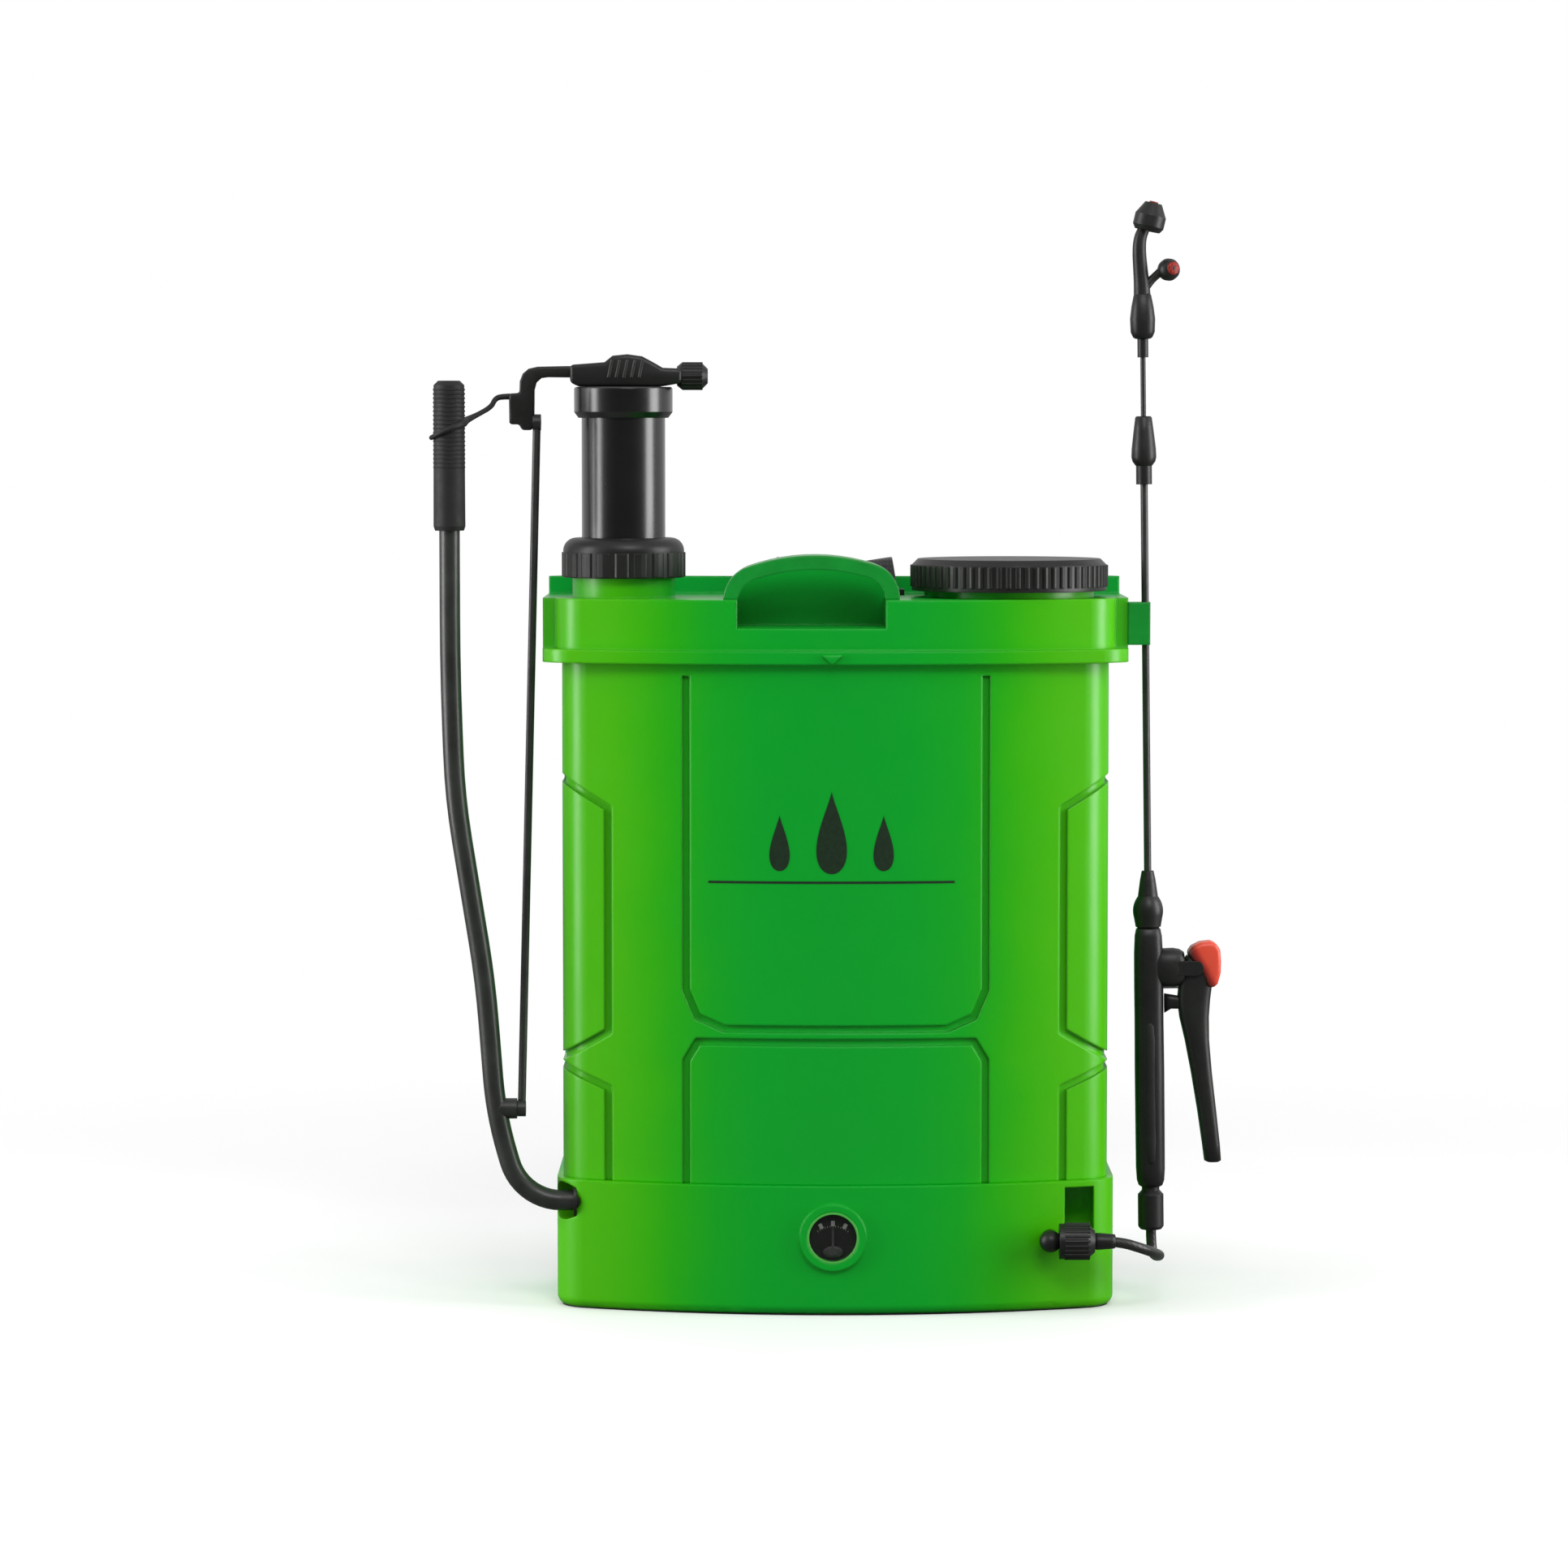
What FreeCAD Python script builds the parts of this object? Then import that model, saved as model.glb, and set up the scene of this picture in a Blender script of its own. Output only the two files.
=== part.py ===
"""Backpack sprayer, 16 litre class, pumped by a side lever or by a battery pump in its base.

Millimetres, +Z up.  The origin is the middle of the base's footprint, on the ground.
+X is the wand's side, -X the pump lever's side, -Y the front with the voltmeter, and +Y the
wearer's back.  Every driving dimension is a cell of the spreadsheet, written once.
"""
import FreeCAD, Part

import math
import os
from types import SimpleNamespace

import Sketcher
from FreeCAD import Placement, Rotation, Vector

SIZES = {
    "casing": {
        "tank_half": 186, "tank_tall": 352, "tank_wall": 4,
        "casing_front": 88, "casing_back": 88, "casing_crown": 36, "casing_hollow": 34,
        "corner_round": 26, "groove_deep": 2.4, "groove_wide": 5,
        "bead_out": 9, "bead_tall": 9, "bead_proud": 6,
        "shoulder_tall": 34, "shoulder_front": 35, "ridge_tall": 12, "ridge_front": 60,
        "panel_half": 101, "panel_split": 106, "panel_top": 344, "panel_round": 26,
        "relief_in": 154, "relief_low": 102, "relief_high": 254, "relief_run": 24,
    },
    "base": {
        "base_half": 190, "base_tall": 88, "base_wall": 3, "base_front": 92, "base_back": 90,
        "base_edge": 7, "plate_thick": 3, "plate_gap": 0.4,
        "slot_middle": 165.5, "slot_wide": 20, "slot_low": 55, "slot_high": 84, "slot_deep": 20,
        "screw_left": 130, "screw_middle": 100, "screw_right": 176, "screw_deep": 44, "screw_shank": 1.5,
        "screw_head": 3.5, "screw_long": 14, "boss_out": 5, "thread_gap": 0.05,
    },
    "necks": {
        "filler_right": 119, "filler_ahead": 10, "filler_out": 58, "filler_wall": 4,
        "filler_tall": 20, "lid_out": 66.5, "lid_tall": 21.5, "lid_wall": 3, "lid_gap": 0.3,
        "lid_lift": 4.6,
        "strainer_deep": 62, "strainer_wall": 1.6, "strainer_draft": 4,
        "chamber_left": 144.5, "chamber_ahead": 15, "neck_step": 6.5, "neck_tall": 30,
        "slide_gap": 0.3, "nut_step": 6.3, "nut_tall": 27, "nut_lift": 13.5,
    },
    "pump": {
        "chamber_out": 28.5, "chamber_wall": 2.5, "chamber_foot": 412, "chamber_top": 611,
        "collar_out": 33.6, "collar_tall": 15, "collar_lap": 6,
        "cylinder_gap": 0.5, "cylinder_wall": 2.5, "cylinder_foot": 330, "flange_thick": 3,
        "piston_tall": 12, "valve_thick": 6, "valve_hole": 6,
        "head_tall": 22, "head_half": 17, "head_deep": 13, "head_shift": 7,
        "socket_left": 36, "socket_half": 8.5, "stub_out": 5.5, "stub_end": 46,
        "cap_long": 21, "cap_out": 9, "bore_gap": 0.1,
    },
    "linkage": {
        "arm_level": 636.4, "arm_thick": 8, "arm_left": 206.6, "arm_round": 14, "arm_foot": 597,
        "tongue_thick": 4, "tongue_from": 611, "eye_thick": 5.6, "eye_out": 5.5, "pin_out": 2.5,
        "arm_pivot": 602, "peg_out": 2, "peg_left": 15, "peg_up": 16, "peg_long": 9,
        "rod_out": 2.7, "rod_end_left": 213.6, "side_gap": 0.3,
        "lever_ahead": 52, "lever_level": 73, "lever_face": 176, "recess_out": 13, "boss_long": 12,
        "lever_out": 7, "lever_wall": 1.5, "lever_inner": 148, "lever_outer": 214, "lever_top": 622,
        "lug_up": 63, "lug_out": 7,
        "grip_low": 529, "grip_high": 630, "grip_out": 10.8, "grip_taper": 0.4,
        "bush_out": 10, "bush_flange": 12.5, "bush_lap": 2, "collar_thick": 4,
        "tie_wide": 8, "tie_thick": 2.5, "tie_level": 597, "tie_eye": 3.4, "tie_eye_out": 6,
    },
    "handle": {
        "carry_left": 76, "carry_right": 43, "carry_rise": 29.5, "carry_thick": 9.5,
        "carry_wide": 26, "arch_corner": 15, "hump_back": 16, "carry_ahead": 58, "recess_deep": 19,
        "recess_back": 22,
    },
    "gauge": {
        "gauge_left": 2, "gauge_level": 53.5, "ring_out": 22.5, "ring_proud": 3,
        "gauge_out": 17.6, "gauge_wall": 1.6, "gauge_deep": 26, "dial_thick": 1, "dial_sunk": 5,
        "lens_thick": 1.2, "needle_low": 9.5, "needle_long": 17, "needle_wide": 1.6,
        "hub_out": 3, "needle_thick": 0.8,
    },
    "electrics": {
        "battery_wide": 151, "battery_deep": 90, "battery_tall": 65, "battery_back": 3,
        "motor_out": 16, "motor_long": 48, "motor_left": 78, "motor_level": 35,
        "motor_back": 22, "head_wide": 42, "head_thick": 44, "head_high": 57,
        "barb_out": 3.9, "hose_in": 4, "hose_out": 6, "barb_long": 9,
        "port_right": 150, "port_back": 30, "port_flange": 12, "delivery_right": 139,
        "switch_back": 24, "switch_level": 50, "switch_tall": 24, "switch_wide": 18,
        "switch_deep": 12, "bezel_thick": 1.6, "rocker_gap": 0.4, "rocker_rise": 2.2,
        "rocker_pin": 1.5, "rocker_sunk": 3, "rocker_lap": 1,
        "socket_back": 58, "socket_out": 6, "socket_flange": 9, "socket_deep": 12,
        "socket_bore": 2.75, "socket_pin": 1.05,
    },
    "outlet": {
        "outlet_left": 145, "outlet_ahead": 86, "outlet_level": 50, "stem_out": 5.5,
        "elbow_out": 7.5, "outlet_from": 151, "outlet_to": 175, "outlet_nut_out": 12,
        "outlet_taper": 5, "outlet_tip": 7.5, "wand_hose_out": 3.5,
    },
    "wand": {
        "wand_right": 216.8, "wand_ahead": 30, "wand_foot": 50, "wand_lean": 0.8,
        "tail_tall": 27, "tail_out": 8.8, "tail_neck": 6, "grip_foot": 31, "grip_tall": 119,
        "grip_half": 11.2, "grip_thick": 10, "body_tall": 58, "body_half": 9.6,
        "boss_level": 180, "boss_round": 13.8, "boss_end": 18.5, "guard_level": 155,
        "guard_tall": 9, "guard_half": 4, "guard_end": 35,
        "trigger_across": 32, "trigger_round": 13, "trigger_half": 8, "trigger_foot": 46,
        "trigger_swing_gap": 0.6, "lock_out": 18, "lock_gap": 0.3, "trigger_pin_out": 2,
        "stem_level": 168, "valve_stem_out": 2.5, "stem_deep": 8.5, "stem_end": 22.2,
        "ball_foot": 208, "ball_tall": 21, "ball_out": 9.9, "ferrule_tall": 17.5,
        "ferrule_out": 5.3, "lance_out": 2.5, "lance_wall": 0.6, "lance_foot": 216,
        "lance_top": 548, "inner_gap": 0.1, "inner_foot": 336, "inner_top": 612,
        "inner_wall": 0.5, "telescope_foot": 510, "telescope_collar": 5.4,
        "telescope_nut_foot": 526, "telescope_nut_out": 8.7, "telescope_nut_top": 556,
        "telescope_nut_tip": 6.6,
    },
    "nozzle": {
        "ferrule_foot": 596, "nozzle_ferrule_out": 3.7, "nozzle_nut_foot": 609,
        "nozzle_nut_tall": 20, "nozzle_nut_out": 8.5, "nozzle_half": 5.2, "nozzle_top": 683,
        "side_level": 655, "side_reach": 14, "side_out": 4.2, "cap_ball": 7.7,
        "top_tilt": 14, "top_cap_out": 10.6, "top_cap_tall": 19, "tip_out": 3, "side_cap_long": 12,
    },
    "clip": {
        "clip_foot": 451, "clip_top": 492, "clip_reach": 15, "clip_wall": 3.6, "clip_gap": 0.3,
    },
    "straps": {
        "strap_apart": 29, "webbing_wide": 30, "webbing_thick": 2.5, "pad_wide": 56,
        "pad_thick": 12, "pad_long": 318, "strap_splay": 9, "hump_rise": 22, "strap_out": 62,
        "strap_low": 64, "anchor_thick": 4, "buckle_wide": 38, "buckle_tall": 22,
        "buckle_thick": 7,
    },
}

doc = FreeCAD.newDocument("backpack_sprayer")
sheet = doc.addObject("Spreadsheet::Sheet", "Sizes")
NODES = []

UP = Rotation()
RIGHT = Rotation(Vector(0, 1, 0), 90)
LEFT = Rotation(Vector(0, 1, 0), -90)
FRONT = Rotation(Vector(1, 0, 0), 90)
BACK = Rotation(Vector(1, 0, 0), -90)


class Dim:
    """A length or an angle: its value, and the expression that gives it in the spreadsheet."""

    def __init__(self, text, value):
        self.text = text
        self.value = value

    def __add__(self, other):
        other = dim(other)
        return Dim("(%s + %s)" % (self.text, other.text), self.value + other.value)

    def __sub__(self, other):
        other = dim(other)
        return Dim("(%s - %s)" % (self.text, other.text), self.value - other.value)

    def __mul__(self, other):
        other = dim(other)
        return Dim("%s * %s" % (self.text, other.text), self.value * other.value)

    def __truediv__(self, other):
        other = dim(other)
        return Dim("%s / %s" % (self.text, other.text), self.value / other.value)

    def __radd__(self, other):
        return dim(other) + self

    def __rsub__(self, other):
        return dim(other) - self

    def __rmul__(self, other):
        return dim(other) * self

    def __neg__(self):
        return Dim("(0 - %s)" % self.text, -self.value)

    def __float__(self):
        return float(self.value)


def dim(value):
    """A plain number as a Dim; a Dim stays as it is."""
    if isinstance(value, Dim):
        return value
    return Dim("(%s)" % value, value)


def sine(angle):
    return Dim("sin(%s)" % angle.text, math.sin(math.radians(angle.value)))


def cosine(angle):
    return Dim("cos(%s)" % angle.text, math.cos(math.radians(angle.value)))


def read_sheet():
    """Fills the spreadsheet, one row per size, and gives every size back by its name."""
    row = 1
    for group, values in SIZES.items():
        for alias, value in values.items():
            sheet.set("A%d" % row, group)
            sheet.set("B%d" % row, alias)
            sheet.set("C%d" % row, str(value))
            sheet.setAlias("C%d" % row, alias)
            row += 1
    doc.recompute()
    names = [alias for values in SIZES.values() for alias in values]
    return SimpleNamespace(**{alias: Dim("Sizes." + alias, float(sheet.get(alias))) for alias in names})


S = read_sheet()
DECK = S.base_tall + S.tank_tall + S.bead_tall + S.shoulder_tall
NECK_TOP = DECK + S.neck_tall
NECK_OUT = S.chamber_out + S.neck_step
NUT_OUT = NECK_OUT + S.nut_step


# ---------------------------------------------------------------- how a piece is drawn

def bind(piece, place, value):
    """Ties one property to the sheet."""
    piece.setExpression(place, dim(value).text)


def seat(piece, at=(0, 0, 0), turn=UP):
    """Puts a piece where the sheet says, turned as the piece is mounted."""
    piece.Placement = Placement(Vector(*[float(value) for value in at]), turn)
    for axis, value in zip("xyz", at):
        bind(piece, "Placement.Base." + axis, value)
    return piece


def node(piece, label):
    """Names a finished piece and lists it for export."""
    piece.Label = label
    NODES.append(piece)
    return piece


def body(name):
    return doc.addObject("PartDesign::Body", name)


def axis_plane(owner, role):
    return [part for part in owner.Origin.OriginFeatures if part.Role == role][0]


def pin_point(sketch, shape, end, x, y):
    """Holds one point of a sketch at x, y from the sketch's origin."""
    for kind, value in (("DistanceX", x), ("DistanceY", y)):
        index = sketch.addConstraint(Sketcher.Constraint(kind, -1, 1, shape, end, float(value)))
        bind(sketch, "Constraints[%d]" % index, value)


def draw_circle(sketch, x, y, radius):
    shape = sketch.addGeometry(Part.Circle(Vector(float(x), float(y), 0), Vector(0, 0, 1), float(radius)))
    pin_point(sketch, shape, 3, x, y)
    index = sketch.addConstraint(Sketcher.Constraint("Radius", shape, float(radius)))
    bind(sketch, "Constraints[%d]" % index, radius)


def draw_outline(sketch, points):
    """A closed outline.  A point is (x, y), or (x, y, mx, my) when an arc through m leads to it."""
    ends = []
    for index, point in enumerate(points):
        before = points[index - 1]
        start = Vector(float(before[0]), float(before[1]), 0)
        stop = Vector(float(point[0]), float(point[1]), 0)
        if len(point) == 2:
            shape = sketch.addGeometry(Part.LineSegment(start, stop))
            ends.append((shape, 1, 2))
            continue
        middle = Vector(float(point[2]), float(point[3]), 0)
        shape = sketch.addGeometry(Part.Arc(start, middle, stop))
        forward = sketch.getPoint(shape, 1).distanceToPoint(start) < 1e-6
        ends.append((shape, 1, 2) if forward else (shape, 2, 1))
        dot = sketch.addGeometry(Part.Point(middle), True)
        sketch.addConstraint(Sketcher.Constraint("PointOnObject", dot, 1, shape))
        pin_point(sketch, dot, 1, point[2], point[3])
    for index, point in enumerate(points):
        shape, first, last = ends[index]
        following = ends[(index + 1) % len(ends)]
        sketch.addConstraint(Sketcher.Constraint("Coincident", shape, last, following[0], following[1]))
        pin_point(sketch, shape, last, point[0], point[1])


def sketch_on(owner, plane, drawings, offset=0):
    """A sketch on one of the body's own planes; each drawing is an outline or a circle."""
    sketch = owner.newObject("Sketcher::SketchObject", "sketch")
    sketch.AttachmentSupport = [(axis_plane(owner, plane), "")]
    sketch.MapMode = "FlatFace"
    bind(sketch, "AttachmentOffset.Base.z", offset)
    for drawing in drawings:
        if isinstance(drawing, dict):
            draw_circle(sketch, drawing["x"], drawing["y"], drawing["radius"])
        else:
            draw_outline(sketch, drawing)
    return sketch


def circle(x, y, radius):
    return {"x": x, "y": y, "radius": radius}


def pad(owner, plane, drawings, length, offset=0, middle=False, back=False):
    feature = owner.newObject("PartDesign::Pad", "pad")
    feature.Profile = sketch_on(owner, plane, drawings, offset)
    bind(feature, "Length", length)
    feature.Midplane = middle
    feature.Reversed = back
    return feature


def round_edges(owner, radius, chosen, chamfer=False):
    """Rounds, or chamfers, the edges of a body that the test picks."""
    doc.recompute()
    feature_type = "PartDesign::Chamfer" if chamfer else "PartDesign::Fillet"
    tip = owner.Tip
    names = ["Edge%d" % (k + 1) for k, edge in enumerate(tip.Shape.Edges) if chosen(edge)]
    feature = owner.newObject(feature_type, "rounding")
    feature.Base = (tip, names)
    bind(feature, "Size" if chamfer else "Radius", radius)
    doc.recompute()
    return feature


def upright(edge):
    """An edge that climbs, such as a corner of a casing."""
    return edge.BoundBox.ZLength > 0.9 * edge.Length


def level_at(height):
    """Picks the edges that lie level at one height."""
    def chosen(edge):
        box = edge.BoundBox
        return box.ZLength < 0.01 and abs(box.ZMin - float(height)) < 0.05
    return chosen


def turned(name, profile, at=(0, 0, 0), turn=UP):
    """A turned piece: its half profile, as radius and height, revolved about its own Z axis."""
    owner = body(name)
    feature = owner.newObject("PartDesign::Revolution", "turning")
    feature.Profile = sketch_on(owner, "XZ_Plane", [profile])
    feature.ReferenceAxis = (feature.Profile[0], ["V_Axis"])
    feature.Angle = 360
    return seat(owner, at, turn)


def tube(name, outer, inner, low, high, at=(0, 0, 0), turn=UP):
    """A plain round tube, or a rod where the inner radius is 0."""
    return turned(name, [(inner, low), (outer, low), (outer, high), (inner, high)], at, turn)


def block(name, x, y, z):
    """A plain block; x, y and z are each (low, high)."""
    piece = doc.addObject("Part::Box", name)
    for prop, (low, high) in (("Length", x), ("Width", y), ("Height", z)):
        bind(piece, prop, dim(high) - low)
    return seat(piece, (x[0], y[0], z[0]))


def fused(name, pieces):
    joined = doc.addObject("Part::MultiFuse", name)
    joined.Refine = False
    joined.Shapes = pieces
    return joined


def cut(name, base, tools):
    """Takes the tools away from the base."""
    taken = doc.addObject("Part::Cut", name)
    taken.Refine = False
    taken.Base = base
    taken.Tool = tools[0] if len(tools) == 1 else fused(name + "_tools", tools)
    return taken


def common(name, first, second):
    shared = doc.addObject("Part::Common", name)
    shared.Refine = False
    shared.Base = first
    shared.Tool = second
    return shared


def solid(name, shape):
    """A piece whose shape is made directly, such as a bent tube."""
    piece = doc.addObject("Part::Feature", name)
    piece.Shape = shape
    return piece


def bent_path(points, radii=None):
    """Straight runs joined by tangent arcs; each arc is as large as its two runs allow."""
    points = [Vector(*[float(value) for value in point]) for point in points]
    edges = []
    start = points[0]
    for before, corner, after in zip(points, points[1:], points[2:]):
        run_in = corner - before
        run_out = after - corner
        half_turn = run_in.getAngle(run_out) / 2
        setback = 0.45 * min(run_in.Length, run_out.Length)
        if radii is not None:
            radii.append(setback / math.tan(half_turn))
        into = corner - run_in.normalize() * setback
        out = corner + run_out.normalize() * setback
        bisector = (into + out) * 0.5 - corner
        radius = setback / math.tan(half_turn)
        centre = corner + bisector.normalize() * (radius / math.cos(half_turn))
        middle = centre + (corner - centre).normalize() * radius
        edges.append(Part.LineSegment(start, into).toShape())
        edges.append(Part.Arc(into, middle, out).toShape())
        start = out
    edges.append(Part.LineSegment(start, points[-1]).toShape())
    return Part.Wire(edges)


def swept(section, path):
    """A closed section swept along a path, as one solid."""
    return path.makePipeShell([section], True, False)


def ring(centre, along, radius):
    return Part.Wire(Part.makeCircle(float(radius), centre, along))


def round_bar(points, outer, inner=0, radii=None):
    """A round bar or tube bent along the points."""
    path = bent_path(points, radii)
    first = Vector(*[float(value) for value in points[0]])
    along = Vector(*[float(value) for value in points[1]]) - first
    shape = swept(ring(first, along, outer), path)
    if float(inner) > 0:
        shape = shape.cut(swept(ring(first, along, inner), path))
    return shape


# ---------------------------------------------------------------- tank and base

def plan(half, front, back, hollow):
    """The casing seen from above: a bowed front, straight sides and a hollowed back."""
    corner = -front + S.casing_crown
    return [(-half, back, 0, back - hollow), (-half, corner), (half, corner, 0, -front), (half, back)]


def casing(name, half, front, back, hollow, low, high, inset=0):
    """A block with the casing's plan and rounded corners, drawn in by the inset."""
    owner = body(name)
    pad(owner, "XY_Plane", [plan(half - inset, front - inset, back - inset, hollow)], high - low)
    round_edges(owner, S.corner_round - inset, upright)
    return seat(owner, (0, 0, low))


def front_ribbon(name, points, wide):
    """A run of straight grooves over the front, each drawn as a slab between two points."""
    slabs = []
    reach = S.casing_front + 20
    for index, (start, stop) in enumerate(zip(points, points[1:])):
        run = Vector(float(stop[0] - start[0]), 0, float(stop[1] - start[1]))
        across = Vector(-run.z, 0, run.x).normalize() * (float(wide) / 2)
        near = Vector(float(start[0]), -float(reach), float(start[1]))
        corners = [near + across, near - across, near + run - across, near + run + across]
        face = Part.Face(Part.makePolygon(corners + corners[:1]))
        slabs.append(solid("%s_%d" % (name, index), face.extrude(Vector(0, float(reach), 0))))
        slabs.append(groove_end("%s_end_%d" % (name, index), stop, wide, reach))
    return slabs


def groove_end(name, place, wide, reach):
    """A round end, or a round corner, of a groove."""
    piece = doc.addObject("Part::Cylinder", name)
    bind(piece, "Radius", wide / 2)
    bind(piece, "Height", reach)
    return seat(piece, (place[0], 0, place[1]), FRONT)


def panel_grooves():
    """The grooves of the front: an upper and a lower panel, and a relief beside each corner."""
    floor = S.base_tall
    top = floor + S.panel_top
    split = floor + S.panel_split
    side = S.panel_half
    turn = S.panel_round
    grooves = []
    for hand in (-1, 1):
        edge = hand * side
        low = split + turn
        grooves += front_ribbon("panel_%d" % (hand + 1), [
            (edge, top), (edge, low), (edge - hand * turn * 0.3, low - turn * 0.7),
            (edge - hand * turn, split), (0 * side, split)], S.groove_wide)
        lower = split - S.groove_wide * 1.8
        grooves += front_ribbon("lower_%d" % (hand + 1), [
            (0 * side, lower), (edge - hand * turn * 0.3, lower), (edge, lower - turn * 0.5),
            (edge, floor)], S.groove_wide)
        inner = hand * S.relief_in
        outer = hand * (S.tank_half + S.relief_run)
        run = S.relief_run
        grooves += front_ribbon("relief_%d" % (hand + 1), [
            (outer, floor + S.relief_high + run * 1.4), (inner, floor + S.relief_high),
            (inner, floor + S.relief_low), (outer, floor + S.relief_low - run * 1.4)], S.groove_wide)
        grooves += front_ribbon("foot_%d" % (hand + 1), [
            (outer, floor + S.relief_low - run * 0.6), (inner, floor + S.relief_low - run * 1.6),
            (inner, floor)], S.groove_wide)
    skin = casing("groove_skin", S.tank_half, S.casing_front, S.casing_back, S.casing_hollow,
                  S.base_tall, S.base_tall + S.tank_tall, S.groove_deep)
    return cut("groove_cutter", fused("grooves", grooves), [skin])


def tank_shell():
    """The tank's outside: walls, bead, shoulder, rear ridge and the two threaded necks."""
    walls_top = S.base_tall + S.tank_tall
    bead_top = walls_top + S.bead_tall
    wide = S.base_half + S.bead_out
    walls = casing("tank_walls", S.tank_half, S.casing_front, S.casing_back, S.casing_hollow,
                   S.base_tall, walls_top)
    bead = casing("tank_bead", wide, S.casing_front + S.bead_proud, S.casing_back + S.bead_proud,
                  S.casing_hollow, walls_top, bead_top)
    band = casing("tank_band", S.base_half, S.casing_front, S.casing_back, S.casing_hollow,
                  bead_top, DECK)
    full = casing("tank_full", wide, S.casing_front + S.bead_proud, S.casing_back + S.bead_proud,
                  S.casing_hollow, bead_top, DECK + S.ridge_tall)
    behind = block("behind_the_step", (-wide, wide), (-S.shoulder_front, S.casing_back + 20),
                   (bead_top, DECK))
    ridge = block("behind_the_ridge", (-wide, wide), (S.ridge_front, S.casing_back + 20),
                  (bead_top, DECK + S.ridge_tall))
    shoulder = common("tank_shoulder", full, fused("shoulder_zone", [behind, ridge]))
    return [walls, bead, band, shoulder]


def tank():
    """The blow-moulded tank, hollow, with the filler neck, the chamber's neck and the hand recess."""
    wall = S.tank_wall
    walls_top = S.base_tall + S.tank_tall
    necks = [
        tube("filler_neck", S.filler_out, 0, 0, S.filler_tall, (S.filler_right, -S.filler_ahead, DECK)),
        tube("pump_neck", NECK_OUT, 0, 0, S.neck_tall, (-S.chamber_left, -S.chamber_ahead, DECK)),
        deck_hump(),
    ]
    recess_x = (-S.carry_left + S.carry_thick, S.carry_right - S.carry_thick)
    recess_floor = DECK - S.recess_deep
    lining = block("recess_lining", (recess_x[0] - wall, recess_x[1] + wall),
                   (-S.casing_front, -S.recess_back + wall), (walls_top, DECK))
    lining = common("recess_walls", lining, casing(
        "recess_limit", S.base_half, S.casing_front, S.casing_back, S.casing_hollow, walls_top, DECK))
    space = casing("tank_space", S.tank_half, S.casing_front, S.casing_back, S.casing_hollow,
                   S.base_tall + wall, DECK - wall, wall)
    recess = block("hand_recess", recess_x, (-S.casing_front - 20, -S.recess_back),
                   (recess_floor, DECK + 20))
    bores = [
        tube("filler_bore", S.filler_out - S.filler_wall, 0, -S.shoulder_tall, S.filler_tall,
             (S.filler_right, -S.filler_ahead, DECK)),
        tube("pump_bore", S.chamber_out + S.cylinder_gap + S.cylinder_wall + S.slide_gap, 0,
             -S.shoulder_tall, S.neck_tall, (-S.chamber_left, -S.chamber_ahead, DECK)),
        tube("outlet_bore", S.stem_out + S.thread_gap, 0, -1, wall * 2,
             (S.port_right, S.port_back, S.base_tall)),
    ]
    solid_shell = fused("tank_outside", tank_shell() + necks)
    hollow = cut("tank_hollow", solid_shell, [space])
    lined = fused("tank_lined", [hollow, lining])
    node(cut("tank_finished", lined, [recess, panel_grooves()] + bores), "tank")


def deck_hump():
    """The rounded rise of the deck behind the carrying handle."""
    owner = body("deck_hump")
    deep = S.recess_back + S.hump_back
    pad(owner, "XZ_Plane", [[(S.carry_right - 1, -2), (1 - S.carry_left, -2)] + arch(1)], deep, middle=True)
    return seat(owner, (0, (S.hump_back - S.recess_back) / 2, DECK))


def arch(inside, back=False):
    """The handle's flat-topped outline above the deck, drawn that far inside its outer edge."""
    left = inside - S.carry_left
    right = S.carry_right - inside
    rise = S.carry_rise - inside
    corner = S.arch_corner
    near = (left + corner, rise * 0.72)
    far = (right - corner, rise * 0.78)
    near_bulge = (left + corner * 0.32, rise * 0.45)
    far_bulge = (right - corner * 0.26, rise * 0.48)
    crown = ((left + right) / 2, rise)
    if back:
        return [(right, 0), far + far_bulge, near + crown, (left, 0) + near_bulge]
    return [(left, 0), near + near_bulge, far + crown, (right, 0) + far_bulge]


def carry_handle():
    """The arched carrying handle over the hand recess."""
    owner = body("carry_handle")
    pad(owner, "XZ_Plane", [arch(0) + arch(S.carry_thick, True)], S.carry_wide, middle=True)
    seat(owner, (0, -S.carry_ahead, DECK))
    node(owner, "carry_handle")


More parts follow.
